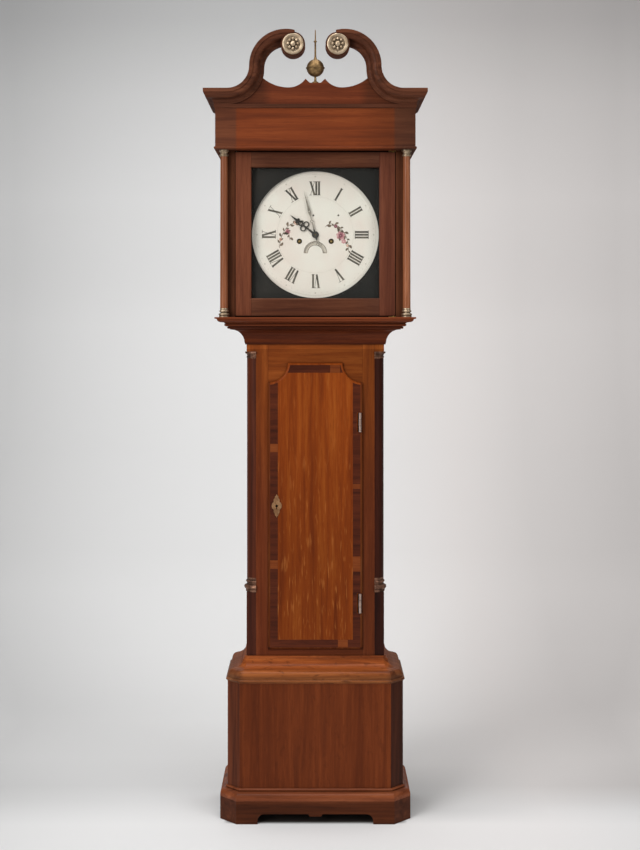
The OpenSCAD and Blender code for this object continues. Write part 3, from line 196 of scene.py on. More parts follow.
class Graph(Tree):
    """A material's node tree around one Principled shader."""

    def __init__(self, name: str) -> None:
        """Starts a material with an output and a shader.

        Args:
            name: Name of the material.
        """
        self.material = bpy.data.materials.new(name)
        self.material.use_nodes = True
        super().__init__(self.material.node_tree)
        self.shader = self.add("ShaderNodeBsdfPrincipled")
        self.output = self.add("ShaderNodeOutputMaterial", {"Surface": self.shader.outputs["BSDF"]})

    def place(self, scale: Triple = (1.0, 1.0, 1.0), turn: Triple = (0.0, 0.0, 0.0)) -> Socket:
        """Gives object coordinates stretched and turned.

        Args:
            scale: Factors along X, Y and Z.
            turn: Turns about X, Y and Z in radians.

        Returns:
            The coordinates.
        """
        where = self.add("ShaderNodeTexCoord").outputs["Object"]
        node = self.add("ShaderNodeMapping", {"Vector": where, "Scale": scale, "Rotation": turn})
        return node.outputs["Vector"]

    def noise(self, vector: Socket, scale: float, detail: float = 4.0, rough: float = 0.55,
              bend: float = 0.0) -> Socket:
        """Adds smooth noise read at a vector.

        Args:
            vector: Where the noise is read.
            scale: How many features lie in a metre.
            detail: Number of finer layers.
            rough: Strength of each finer layer.
            bend: How far the noise bends its own coordinates.

        Returns:
            The noise's value.
        """
        node = self.add("ShaderNodeTexNoise", {"Vector": vector, "Scale": scale, "Detail": detail,
                                               "Roughness": rough, "Distortion": bend})
        return node.outputs["Fac"]

    def ramp(self, factor: Socket, stops: list[tuple[float, Colour]]) -> Socket:
        """Turns a value into a colour through a list of stops.

        Args:
            factor: The value that is looked up.
            stops: Pairs of position and colour, in rising order.

        Returns:
            The colour.
        """
        node = self.add("ShaderNodeValToRGB", {"Fac": factor})
        while len(node.color_ramp.elements) < len(stops):
            node.color_ramp.elements.new(0.5)
        for element, (position, colour) in zip(node.color_ramp.elements, stops):
            element.position = position
            element.color = (*colour, 1.0)
        return node.outputs["Color"]

    def spread(self, factor: Socket, span: Span, to: Span = (0.0, 1.0)) -> Socket:
        """Maps a value from one range to another, held at both ends.

        Args:
            factor: The value that is mapped.
            span: Start and end of the range read.
            to: Results at the start and at the end.

        Returns:
            The mapped value.
        """
        node = self.add("ShaderNodeMapRange", {"Value": factor, "From Min": span[0], "From Max": span[1],
                                               "To Min": to[0], "To Max": to[1]})
        return node.outputs["Result"]

    def blend(self, kind: str, factor: Socket | float, first: Socket | Colour,
              second: Socket | Colour) -> Socket:
        """Mixes two colours.

        Args:
            kind: Blend type, such as MIX or MULTIPLY.
            factor: How much of the second colour is used.
            first: The lower colour.
            second: The upper colour.

        Returns:
            The mixed colour.
        """
        node = self.add("ShaderNodeMix", {0: factor, 6: first, 7: second}, data_type="RGBA",
                        blend_type=kind)
        return node.outputs[2]

    def either(self, second_holds: Socket, first: Socket, second: Socket) -> Socket:
        """Chooses the second of two vectors where a value is 1, and the first where it is 0."""
        node = self.add("ShaderNodeMix", {0: second_holds, 4: first, 5: second}, data_type="VECTOR")
        return node.outputs[1]

    def sum(self, kind: str, *values: Socket | float) -> Socket:
        """Does one sum, such as ADD or ABSOLUTE, on sockets or plain numbers."""
        return self.add("ShaderNodeMath", dict(enumerate(values)), operation=kind).outputs["Value"]

    def axis(self, letter: str, both_sides: bool = False, of: str = "Object") -> Socket:
        """Gives one object coordinate, or one part of the normal.

        Args:
            letter: X, Y or Z.
            both_sides: Whether the sign is dropped.
            of: Object for the place, Normal for the way a face looks.

        Returns:
            The value.
        """
        parts = self.add("ShaderNodeSeparateXYZ", {"Vector": self.add("ShaderNodeTexCoord").outputs[of]})
        value = parts.outputs[letter]
        return self.sum("ABSOLUTE", value) if both_sides else value

    def share(self, edge: Edge) -> Socket:
        """Gives a value from 0 before a soft edge to 1 past it."""
        return self.spread(self.axis(edge.axis, edge.both_sides), (edge.start, edge.stop))

    def rounded(self, radius: float) -> Socket:
        """Gives the normal with sharp edges rounded over a radius."""
        return self.add("ShaderNodeBevel", {"Radius": radius}, samples=EDGE_SAMPLES).outputs["Normal"]

    def worn(self, radius: float) -> Socket:
        """Finds sharp edges, where the rounded normal leaves the true one.

        Args:
            radius: Width of the edge that counts.

        Returns:
            A value from 0 on open faces to 1 on edges.
        """
        flat = self.add("ShaderNodeNewGeometry").outputs["Normal"]
        dot = self.add("ShaderNodeVectorMath", {0: self.rounded(radius), 1: flat}, operation="DOT_PRODUCT")
        return self.spread(dot.outputs["Value"], (0.80, 0.99), (1.0, 0.0))

    def painted_crevice_shade(self, colour: Socket, reach: float, least: float) -> Socket:
        """Darkens a colour where surfaces stand close together: painted shade, from ambient occlusion.

        Args:
            colour: The colour before the painted shade.
            reach: How far away a neighbour still counts.
            least: Brightness left in the deepest corner.

        Returns:
            The colour with its painted shade.
        """
        node = self.add("ShaderNodeAmbientOcclusion", {"Distance": reach}, samples=EDGE_SAMPLES)
        shade = self.spread(node.outputs["AO"], (0.25, 0.85), (least, 1.0))
        return self.blend("MULTIPLY", 1.0, colour, self.grey(shade))

    def grey(self, value: Socket) -> Socket:
        """Turns a value into a grey of that brightness."""
        node = self.add("ShaderNodeCombineColor", dict.fromkeys(("Red", "Green", "Blue"), value))
        return node.outputs["Color"]

    def dress(self, colour: Socket | Colour, roughness: Socket | float, **others: float) -> None:
        """Sets the shader's colour, roughness and other sockets.

        Args:
            colour: The base colour.
            roughness: The roughness.
            **others: Other sockets, their names in lower case with underscores for spaces.
        """
        names = {name.replace("_", " ").title().replace("Ior", "IOR"): v for name, v in others.items()}
        self.fill(self.shader, {"Base Color": colour, "Roughness": roughness} | names)

    def bump(self, height: Socket, strength: float, depth: float, round_edge: float = 0.0) -> None:
        """Raises the shader's surface by a height.

        Args:
            height: Value that is taken as the height.
            strength: Share of the effect, from 0 to 1.
            depth: Height in metres that a value of 1 stands for.
            round_edge: Radius to which sharp edges are shaded.
        """
        node = self.add("ShaderNodeBump", {"Height": height, "Strength": strength, "Distance": depth})
        if round_edge > 0.0:
            self.fill(node, {"Normal": self.rounded(round_edge)})
        self.fill(self.shader, {"Normal": node.outputs["Normal"]})


@dataclass(frozen=True)
class Finish:
    """A finish that becomes a material, with the nodes that wear it."""

    name: str
    nodes: tuple[str, ...] = field(default=(), kw_only=True)

    def lay(self, graph: Graph) -> None:
        """Adds the finish's nodes to a material."""
        raise NotImplementedError

    def build(self) -> Material:
        """Makes the material.

        Returns:
            The finished material.
        """
        graph = Graph(self.name)
        self.lay(graph)
        return graph.material


@dataclass(frozen=True)
class Wood(Finish):
    """Waxed wood with long streaks, fine pores, worn edges and, on oak, short bright rays."""

    dark: Colour
    middle: Colour
    light: Colour
    grain: Grain = Grain.UPRIGHT
    streaks: float = 55.0
    rays: float = 0.0
    ray_fade: Span | None = None
    ray_colour: Colour | None = None
    rail_half: float = 0.0
    tones_and_shades: tuple[ToneAndShade, ...] = ()
    specks: float = 0.0
    roughness: float = 0.42
    coat: float = 0.0
    shade: float = 0.45
    shine: float = 0.09
    wear: float = 0.3
    end_face: float = 0.75

    def where(self, graph: Graph, squeeze: float) -> Socket:
        """Gives coordinates squeezed along the grain, turned on a frame's rails and on returned ends.

        Args:
            graph: The material's tree.
            squeeze: Share of the length that is left along the grain.

        Returns:
            The coordinates.
        """
        other = Grain.ACROSS
        if self.rail_half > 0.0:
            turned = graph.sum("LESS_THAN", graph.axis("X", True), self.rail_half)
        else:
            facing = graph.axis("XYZ"[self.grain.value], True, "Normal")
            turned = graph.sum("GREATER_THAN", facing, self.end_face)
            if self.grain is Grain.ACROSS:
                other = Grain.DEEP
        return graph.either(turned, graph.place(self.grain.stretch(squeeze)),
                            graph.place(other.stretch(squeeze)))

    def flecks(self, graph: Graph, colour: Socket) -> Socket:
        """Adds the oak's rays and dark specks along the grain.

        Args:
            graph: The material's tree.
            colour: The wood's plain colour.

        Returns:
            The colour with its flecks.
        """
        if self.rays > 0.0:
            ray = graph.noise(self.where(graph, squeeze=0.10), 190.0, detail=2.0, bend=0.2)
            bright = graph.spread(ray, (0.58, 0.74), (0.0, self.rays))
            if self.ray_fade is not None:
                fade = graph.spread(graph.axis("Z"), self.ray_fade, (1.0, 0.25))
                bright = graph.sum("MULTIPLY", bright, fade)
            colour = graph.blend("MIX", bright, colour, self.ray_colour or self.light)
        if self.specks > 0.0:
            dots = graph.noise(self.where(graph, squeeze=0.40), 85.0, detail=3.0, rough=0.6, bend=0.6)
            colour = graph.blend("MIX", graph.spread(dots, (0.57, 0.72), (0.0, self.specks)), colour,
                                 toned(self.dark, 0.55))
        return colour

    def aged(self, graph: Graph, colour: Socket) -> Socket:
        """Adds tones that are partly the wood's own and partly painted light and shade, the seams between
        stiles and rails, rubbed edges and painted shade where surfaces stand close together.

        Args:
            graph: The material's tree.
            colour: The wood's colour before these are added.

        Returns:
            The colour with all of these added.
        """
        # Several of these tones are painted light and shade: darker towards the bottom or the right,
        # lighter on the left or along a top edge.
        for tone_or_shade in self.tones_and_shades:
            colour = graph.blend("MULTIPLY", graph.share(tone_or_shade), colour, tone_or_shade.colour)
        if self.rail_half > 0.0:
            seam = graph.sum("ABSOLUTE", graph.sum("SUBTRACT", graph.axis("X", True), self.rail_half))
            colour = graph.blend("MULTIPLY", graph.spread(seam, (0.0002, 0.0007), (0.6, 0.0)), colour,
                                 (0.25, 0.22, 0.2))
        uneven = graph.spread(graph.noise(graph.place(), 38.0, detail=3.0), (0.4, 0.62), (0.2, 1.0))
        rubbed = graph.sum("MULTIPLY", graph.worn(radius=0.0016), uneven)
        colour = graph.blend("MIX", graph.sum("MULTIPLY", rubbed, self.wear), colour,
                             toned(self.light, 1.6))
        # Painted shade where surfaces stand close together.
        return graph.painted_crevice_shade(colour, reach=0.018, least=self.shade)

    def lay(self, graph: Graph) -> None:
        """Adds streaks, broad tones, pores and wax, which loses its shine at a slant.

        Args:
            graph: The material's tree.
        """
        where = self.where(graph, squeeze=0.045)
        streak = graph.noise(where, self.streaks, detail=7.0, rough=0.62, bend=0.5)
        broad = graph.noise(where, self.streaks * 0.18, detail=2.0, rough=0.5, bend=0.8)
        pores = graph.noise(self.where(graph, squeeze=0.06), 520.0, detail=2.0, rough=0.5)
        colour = graph.ramp(streak, [(0.30, self.dark), (0.50, self.middle), (0.72, self.light)])
        tone = graph.ramp(broad, [(0.30, (0.74, 0.70, 0.68)), (0.70, (1.0, 1.0, 1.0))])
        colour = graph.blend("MULTIPLY", 0.75, colour, tone)
        colour = graph.blend("MIX", graph.spread(pores, (0.30, 0.45), (0.45, 0.0)), colour, self.dark)
        colour = self.aged(graph, self.flecks(graph, colour))
        slant = graph.add("ShaderNodeLayerWeight").outputs["Facing"]
        dull = graph.spread(slant, (0.55, 0.85), (0.0, 0.9))
        waxed = graph.spread(streak, (0.3, 0.7), (self.roughness + 0.06, self.roughness - 0.05))
        graph.dress(colour, graph.sum("MAXIMUM", dull, waxed), specular_ior_level=self.shine,
                    coat_weight=self.coat, coat_roughness=0.22)
        graph.bump(pores, strength=0.25, depth=0.0004, round_edge=0.0009)


@dataclass(frozen=True)
class Metal(Finish):
    """Metal that is clean on its open faces, stained in patches, and darkened with painted shade where
    surfaces stand close together.
    """

    clean: Colour
    stained: Colour
    roughness: float = 0.35
    stain: float = 0.5
    scratches: float = 0.0

    def lay(self, graph: Graph) -> None:
        """Adds patches of stain, and scratches along the height or a slight unevenness.

        Args:
            graph: The material's tree.
        """
        patches = graph.noise(graph.place(), 60.0, detail=6.0, rough=0.65, bend=0.4)
        amount = graph.spread(patches, (0.40, 0.62), (0.0, self.stain))
        colour = graph.blend("MIX", amount, self.clean, self.stained)
        rough = graph.spread(patches, (0.35, 0.65), (self.roughness, self.roughness + 0.22))
        # Painted shade where surfaces stand close together.
        graph.dress(graph.painted_crevice_shade(colour, reach=0.008, least=0.4), rough, metallic=1.0)
        if self.scratches > 0.0:
            lines = graph.noise(graph.place((1.0, 1.0, 0.05)), 900.0, detail=2.0, rough=0.6)
            graph.bump(lines, self.scratches, depth=0.0002)
        else:
            graph.bump(patches, strength=0.10, depth=0.0006)


@dataclass(frozen=True)
class Paint(Finish):
    """Old paint on metal or ink on paint, with faint stains and a fine uneven skin."""

    fresh: Colour
    aged: Colour
    roughness: float = 0.4
    patch: float = 9.0
    amount: float = 0.6
    shine: float = 0.3
    dark_within: float = 0.0

    def darkened(self, graph: Graph, colour: Socket) -> Socket:
        """Darkens the paint within a radius of the dial's middle.

        Args:
            graph: The material's tree.
            colour: The paint's colour.

        Returns:
            The colour, dark near the middle.
        """
        low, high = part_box("dial")
        rise = graph.sum("SUBTRACT", graph.axis("Z"), high[2] - (high[0] - low[0]) / 2)
        squares = [graph.sum("MULTIPLY", part, part) for part in (rise, graph.axis("X"))]
        away = graph.sum("SQRT", graph.sum("ADD", *squares))
        near = graph.spread(away, (0.8 * self.dark_within, self.dark_within), (0.9, 0.0))
        return graph.blend("MIX", near, colour, toned(self.aged, 0.08))

    def lay(self, graph: Graph) -> None:
        """Adds broad patches, fine specks and a slight unevenness.

        Args:
            graph: The material's tree.
        """
        broad = graph.noise(graph.place(), self.patch, bend=0.3)
        specks = graph.noise(graph.place(), 420.0, detail=2.0, rough=0.5)
        old = tuple(f + (a - f) * self.amount for f, a in zip(self.fresh, self.aged))
        colour = graph.ramp(broad, [(0.38, self.fresh), (0.66, old)])
        colour = graph.blend("MIX", graph.spread(specks, (0.66, 0.74), (0.0, 0.35)), colour, self.aged)
        if self.dark_within > 0.0:
            colour = self.darkened(graph, colour)
        rough = graph.spread(broad, (0.3, 0.7), (self.roughness, self.roughness + 0.12))
        graph.dress(colour, rough, specular_ior_level=self.shine)
        graph.bump(specks, strength=0.06, depth=0.0003)


@dataclass(frozen=True)
class WindowGlass(Finish):
    """Clear old window glass, almost unseen but for its shine and a faint waviness."""

    name: str = "window_glass"

    def lay(self, graph: Graph) -> None:
        """Makes the shader nearly see-through."""
        graph.dress((0.30, 0.34, 0.33), 0.03, alpha=0.02)
        graph.bump(graph.noise(graph.place(), 6.0, detail=1.0), strength=0.05, depth=0.001)


@dataclass(frozen=True)
class Gut(Finish):
    """Twisted gut cord with fine slanting bands."""

    name: str = "gut_cord"
    pale: Colour = srgb(190, 150, 100)
    deep: Colour = srgb(120, 85, 50)
    slant: float = 0.6

    def lay(self, graph: Graph) -> None:
        """Adds the bands.

        Args:
            graph: The material's tree.
        """
        where = graph.place(turn=(0.0, self.slant, 0.0))
        wave = graph.add("ShaderNodeTexWave", {"Vector": where, "Scale": 160.0, "Distortion": 1.0})
        bands = wave.outputs["Fac"]
        graph.dress(graph.ramp(bands, [(0.2, self.deep), (0.7, self.pale)]), 0.5)
        graph.bump(bands, strength=0.4, depth=0.0003)


def new_piece(name: str, points: np.ndarray, faces: np.ndarray, material: Material,
              body: str | None) -> bpy.types.Object:
    """Makes a mesh object from points and faces, and lets it ride on a body.

    Args:
        name: Name of the piece.
        points: Array of points, one row each.
        faces: Array of corner numbers, four to a row.
        material: Finish of the piece.
        body: Body that carries the piece, or None to leave it on no body.

    Returns:
        The new object.
    """
    mesh = bpy.data.meshes.new(name)
    mesh.from_pydata(points.tolist(), [], faces.tolist())
    closed = bmesh.new()
    closed.from_mesh(mesh)
    bmesh.ops.remove_doubles(closed, verts=closed.verts, dist=1e-7)
    bmesh.ops.dissolve_degenerate(closed, edges=closed.edges, dist=1e-7)
    bmesh.ops.recalc_face_normals(closed, faces=closed.faces)
    closed.to_mesh(mesh)
    closed.free()
    mesh.materials.append(material)
    piece = bpy.data.objects.new(name, mesh)
    bpy.context.scene.collection.objects.link(piece)
    if body is not None:
        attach(piece, body)
    log.info("%s rides on %s with %d faces", name, body or "two bodies", len(mesh.polygons))
    return piece


def grid_faces(rows: int, count: int, closed: bool = True) -> np.ndarray:
    """Joins rows of points into faces with four corners.

    Args:
        rows: Number of rows.
        count: Number of points in a row.
        closed: Whether each row's last point is joined to its first.

    Returns:
        Corner numbers, four to a face.
    """
    row, place = np.meshgrid(np.arange(rows - 1), np.arange(count if closed else count - 1), indexing="ij")
    after = (place + 1) % count
    return np.stack([row * count + place, row * count + after, (row + 1) * count + after,
                     (row + 1) * count + place], axis=-1).reshape(-1, 4)


def strokes(lines: list[Stroke], rise: float, section: Section = Section.RIDGE) -> Drawing:
    """Carries a low cross-section along flat paths and closes both ends.

    A point of the surface is the path's point plus half the width times the path's left-hand
    direction times the section's sideways share, raised by the section's height share.

    Args:
        lines: Pairs of a path (across, up) and its half width, at all of its points or at each.
        rise: Height of the section.
        section: Shape of the section.

    Returns:
        Points (across, up, height) and faces with four corners.
    """
    side, height = np.array(section.value)
    count = len(side)
    caps = np.array([[0, 1, 2, 3], [3, 2, 1, 0]])
    all_points, all_faces, start = [], [], 0
    for path, width in lines:
        step = np.gradient(path, axis=0)
        step /= np.maximum(np.linalg.norm(step, axis=1, keepdims=True), 1e-12)
        left = np.stack([-step[:, 1], step[:, 0]], axis=1)
        half = np.broadcast_to(width, len(path))
        flat = path[:, None, :] + half[:, None, None] * side[None, :, None] * left[:, None, :]
        lift = np.broadcast_to(rise * height[None, :, None], (*flat.shape[:2], 1))
        all_points.append(np.concatenate([flat, lift], axis=2).reshape(-1, 3))
        ends = caps + np.array([[0], [(len(path) - 1) * count]])
        all_faces.append(np.concatenate([grid_faces(len(path), count), ends]) + start)
        start += len(path) * count
    return np.concatenate(all_points), np.concatenate(all_faces)


def domes(centres: np.ndarray, radius: float, rise: float, turns: int, rings: int) -> Drawing:
    """Makes low domes: radius times the cosine and rise times the sine of one quarter turn.

    Args:
        centres: Points (across, up), one row each.
        radius: Radius of a dome at its foot.
        rise: Height of a dome.
        turns: Number of points round a dome.
        rings: Number of rings from foot to top.

    Returns:
        Points (across, up, height) and faces with four corners.
    """
    rim = np.linspace(0, 2 * math.pi, turns, endpoint=False)
    lift = np.linspace(0, math.pi / 2, rings + 1)
    out = radius * np.cos(lift)[:, None]
    up = np.broadcast_to(rise * np.sin(lift)[:, None], (rings + 1, turns))
    shape = np.stack([out * np.cos(rim), out * np.sin(rim), up], axis=-1)
    one = np.concatenate([np.zeros((1, turns, 3)), shape]).reshape(-1, 3)
    centres = np.concatenate([centres, np.zeros((len(centres), 1))], axis=1)
    starts = np.arange(len(centres)) * len(one)
    return ((one[None] + centres[:, None]).reshape(-1, 3),
            (grid_faces(rings + 2, turns)[None] + starts[:, None, None]).reshape(-1, 4))


def arc(centre: Span, radius: float, first: float, last: float, count: int) -> np.ndarray:
    """Gives points on a circle between two angles in degrees, from the right and anticlockwise.

    Args:
        centre: Middle of the circle.
        radius: Radius of the circle.
        first: First angle.
        last: Last angle.
        count: Number of points.

    Returns:
        Points (across, up), one row each.
    """
    angle = np.radians(np.linspace(first, last, count))
    return np.stack([centre[0] + radius * np.cos(angle), centre[1] + radius * np.sin(angle)], axis=1)


def curve(points: list[Span], count: int) -> np.ndarray:
    """Runs one smooth polynomial curve through a few points in millimetres.

    Args:
        points: Points (across, up) that the curve passes.
        count: Number of points on the curve.

    Returns:
        Points (across, up) in metres.
    """
    fixed = np.array(points, dtype=float) / 1000.0
    share, along = np.linspace(0, 1, len(fixed)), np.linspace(0, 1, count)
    fit = [np.polyval(np.polyfit(share, fixed[:, i], len(fixed) - 1), along) for i in range(2)]
    return np.stack(fit, axis=1)


@dataclass(frozen=True)
class Front:
    """A flat face that looks to the front and carries raised drawings."""

    body: str
    slot: str
    y: float
    mid_x: float = 0.0
    mid_z: float = 0.0

    def put(self, name: str, drawing: Drawing, material: Material, over: float = 0.0) -> None:
        """Stands a flat drawing up against the face.

        A point (across, up, height) goes to (mid_x + across, y - over - height, mid_z + up).

        Args:
            name: Name of the piece.
            drawing: Points (across, up, height) and faces.
            material: Finish of the piece.
            over: How far the drawing stands off the face, over other paint.
        """
        (across, up, height), faces = drawing[0].T, drawing[1]
        points = np.stack([self.mid_x + across, self.y - over - height, self.mid_z + up], axis=1)
        new_piece(name, points, faces, material, self.body)


@dataclass
class DialPainting:
    """Numerals, minute dots, window outline, flower sprays and rivets on the dial."""

    numeral_low: float = 0.1035
    numeral_high: float = 0.1385
    thick: float = 0.0025
    thin: float = 0.0006
    serif: float = 0.0040
    letter_half: float = 0.005184
    rise: float = 0.00012
    letter_wide: tuple[tuple[str, float], ...] = (("I", 0.0072), ("V", 0.0118), ("X", 0.0122))
    dot_ring: float = 0.1520
    dot_radius: float = 0.0010
    five_dot_radius: float = 0.0019
    ring_half: float = 0.00025
    inner_ring: float = 0.0995
    outer_ring: float = 0.1580
    window_inset: float = 0.0005
    window_band: float = 0.0095
    window_drop: float = 0.0003
    stem_half: float = 0.0007
    leaf_gap: float = 0.0080
    leaf_size: float = 0.0130
    leaf_lean: float = 40.0
    leaf_width: float = 0.26
    leaf_bow: float = 0.12
    petal_start: float = 0.12
    petal_width: float = 2.4
    petal_skew: float = 1.4
    rivet_places: tuple[Span, ...] = ((-0.0050, 0.0505), (0.0600, 0.0505))
    rivet_radius: float = 0.0026
    rivet_rise: float = 0.0008
    words: tuple[str, ...] = ("XII", "I", "II", "III", "IIII", "V", "VI", "VII", "VIII", "IX", "X", "XI")
    ink: Paint = Paint("dial_ink", srgb(70, 66, 58), srgb(124, 116, 100), 0.5, 60.0, 0.7)
    faint: Paint = Paint("faint_ink", srgb(176, 170, 154), srgb(205, 198, 182), 0.5, 60.0, 0.6)
    leaf: Paint = Paint("leaf_paint", srgb(92, 78, 62), srgb(128, 110, 92), 0.45, 80.0, 0.8)
    rose: Paint = Paint("rose_paint", srgb(172, 112, 116), srgb(206, 164, 160), 0.45, 90.0, 0.9)
    deep_rose: Paint = Paint("deep_rose_paint", srgb(122, 66, 76), srgb(160, 104, 110), 0.45, 90.0, 0.8)
    bud: Paint = Paint("bud_paint", srgb(196, 150, 128), srgb(214, 182, 160), 0.45, 90.0, 0.8)

    def face(self) -> Front:
        """Gives the dial's front face.

        Returns:
            The face, with the dial's middle as its origin.
        """
        low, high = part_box("dial")
        radius = (high[0] - low[0]) / 2
        return Front("case", "painted_iron", float(low[1]), 0.0, float(high[2] - radius))

    def letter(self, kind: str, middle: float) -> list[Stroke]:
        """Draws one Roman letter between the two numeral radii, with serifs at its ends.

        Args:
            kind: I, V or X.
            middle: Distance of the letter's middle from the numeral's middle.

        Returns:
            Pairs of a path (across, out) and its half width.
        """
        low, high, half = self.numeral_low, self.numeral_high, self.letter_half
        bars = {"I": [(0.0, 0.0)], "V": [(0.0, -half), (0.0, half)],
                "X": [(half, -half), (-half, half)]}[kind]
        out = [(np.array([[middle + foot, low], [middle + top, high]]), width)
               for (foot, top), width in zip(bars, (self.thick, self.thin))]
        ends = [(middle + top, high) for _, top in bars]
        if kind != "V":
            ends += [(middle + foot, low) for foot, _ in bars]
        return out + [(np.array([[x - self.serif, up], [x + self.serif, up]]), self.thin) for x, up in ends]

    def numerals(self) -> None:
        """Paints the twelve numerals with their tops outwards."""
        wide = dict(self.letter_wide)
        lines = []
        for hour, word in enumerate(self.words):
            across = -sum(wide[c] for c in word) / 2
            angle = math.radians(-30 * hour)
            turn = np.array([[math.cos(angle), -math.sin(angle)], [math.sin(angle), math.cos(angle)]])
            for kind in word:
                letter = self.letter(kind, across + wide[kind] / 2)
                lines += [(path @ turn.T, width) for path, width in letter]
                across += wide[kind]
        self.face().put("dial_numerals", strokes(lines, self.rise, Section.PLATE), self.ink.build())

    def minute_ring(self) -> None:
        """Paints sixty minute dots and a fine ring on either side of the dots and numerals."""
        angles = np.radians(np.arange(60) * 6.0)
        places = self.dot_ring * np.stack([np.sin(angles), np.cos(angles)], axis=1)
        material = self.faint.build()
        for name, rows, radius in (("minute_dots", places, self.dot_radius),
                                   ("five_minute_dots", places[::5], self.five_dot_radius)):
            self.face().put(name, domes(rows, radius, self.rise * 2, 10, 2), material)
        rings = [(arc((0.0, 0.0), radius, 0.0, 360.0, 181), self.ring_half)
                 for radius in (self.inner_ring, self.outer_ring)]
        self.face().put("dial_rings", strokes(rings, self.rise), material)

    def window_outline(self) -> None:
        """Paints a brown line round the arched date window."""
        low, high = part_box("date_disc")
        face = self.face()
        middle = (0.0, float((low[2] + high[2]) / 2) - face.mid_z)
        outer = float((high[2] - low[2]) / 2) - self.window_inset
        inner = outer - self.window_band
        foot = middle[1] - self.window_drop
        paths = [arc(middle, outer, 0.0, 180.0, 49), arc(middle, inner, 0.0, 180.0, 41)]
        paths += [np.array([[side * inner, foot], [side * outer, foot]]) for side in (-1.0, 1.0)]
        face.put("date_window_outline", strokes([(path, self.stem_half) for path in paths], self.rise),
                 self.leaf.build())

    def leaves(self, stem: np.ndarray) -> list[Stroke]:
        """Sets pointed leaves in turn on both sides of a stem.

        A leaf's half width is its length times leaf_width times the sine of half a turn along it.

        Args:
            stem: Points of the stem.

        Returns:
            Paths and half widths of the leaves.
        """
        length = np.concatenate([[0], np.cumsum(np.linalg.norm(np.diff(stem, axis=0), axis=1))])
        along = np.linspace(0, 1, 9)
        swell = np.sin(math.pi * along)
        leaves = []
        for index, place in enumerate(np.arange(self.leaf_gap * 0.5, length[-1], self.leaf_gap)):
            row = min(max(int(np.searchsorted(length, place)), 1), len(stem) - 1)
            step = stem[row] - stem[row - 1]
            side = 1 if index % 2 else -1
            angle = math.atan2(step[1], step[0]) + side * math.radians(self.leaf_lean)
            reach = self.leaf_size * (0.8 + 0.2 * math.cos(1.7 * index))
            way = np.array([math.cos(angle), math.sin(angle)])
            bow = np.array([-way[1], way[0]]) * side * self.leaf_bow * reach
            path = stem[row] + along[:, None] * reach * way + swell[:, None] * bow
            leaves.append((path, np.maximum(self.leaf_width * reach * swell, SLIVER)))
        return leaves

    def flower(self, centre: Span, radius: float, petals: int, start: float) -> list[Stroke]:
        """Sets rounded petals in a ring about a centre.

        A petal's half width is its length times petal_width over the number of petals, times the sine
        of half a turn along it, fullest past its middle.

        Args:
            centre: Middle of the flower in millimetres.
            radius: Length of a petal.
            petals: Number of petals.
            start: Angle of the first petal in degrees.

        Returns:
            Paths and half widths of the petals.
        """
        along = np.linspace(self.petal_start, 1, 9)
        fullness = np.sin(math.pi * along ** self.petal_skew)
        width = np.maximum(radius * self.petal_width / petals * fullness, SLIVER)
        ring = []
        for angle in np.radians(start + 360 * np.arange(petals) / petals):
            way = np.array([math.cos(angle), math.sin(angle)])
            ring.append((np.array(centre) / 1000.0 + along[:, None] * radius * way, width))
        return ring

    def sprays(self) -> None:
        """Paints a plain spray of flowers on either side of the hands."""
        stems = [curve([(-93, -34), (-86, 0), (-66, 26), (-36, 28)], 40),
                 curve([(-84, 2), (-72, 6), (-66, -14)], 20),
                 curve([(26, 20), (50, 27), (76, 4), (86, -42)], 44),
                 curve([(60, 22), (66, 8), (60, -8)], 16)]
        green = [line for stem in stems for line in [(stem, self.stem_half), *self.leaves(stem)]]
        self.face().put("spray_leaves", strokes(green, self.rise), self.leaf.build())
        blooms = (
            ("spray_petals", self.rose, 0.0,
             (((66, -2), 0.0125, 7, 10.0), ((74, -17), 0.0070, 6, 30.0), ((-72, 8), 0.0075, 6, 0.0))),
            ("spray_hearts", self.deep_rose, self.rise,
             (((66, -2), 0.0062, 6, 35.0), ((53, 22), 0.0050, 5, 0.0), ((-72, 8), 0.0036, 5, 30.0))),
            ("spray_buds", self.bud, 0.0,
             (((-52, 31), 0.0050, 5, 0.0), ((-90, -12), 0.0045, 5, 20.0), ((84, -28), 0.0042, 5, 20.0))))
        for name, paint, over, flowers in blooms:
            petals = [petal for bloom in flowers for petal in self.flower(*bloom)]
            self.face().put(name, strokes(petals, self.rise), paint.build(), over)

    def rivets(self) -> None:
        """Sets two small dark rivet heads in the upper half of the dial."""
        heads = domes(np.array(self.rivet_places), self.rivet_radius, self.rivet_rise, 16, 3)
        self.face().put("dial_rivets", heads, self.ink.build())

    def build(self) -> None:
        """Paints everything on the dial."""
        self.numerals()
        self.minute_ring()
        self.window_outline()
        self.sprays()
        self.rivets()


class Dressed:
    """A sub-assembly whose finishes name the nodes that wear them."""

    def finishes(self) -> dict[str, Finish]:
        """Gives the finish of each node of the sub-assembly."""
        return {node: finish for finish in vars(self).values() if isinstance(finish, Finish)
                for node in finish.nodes}


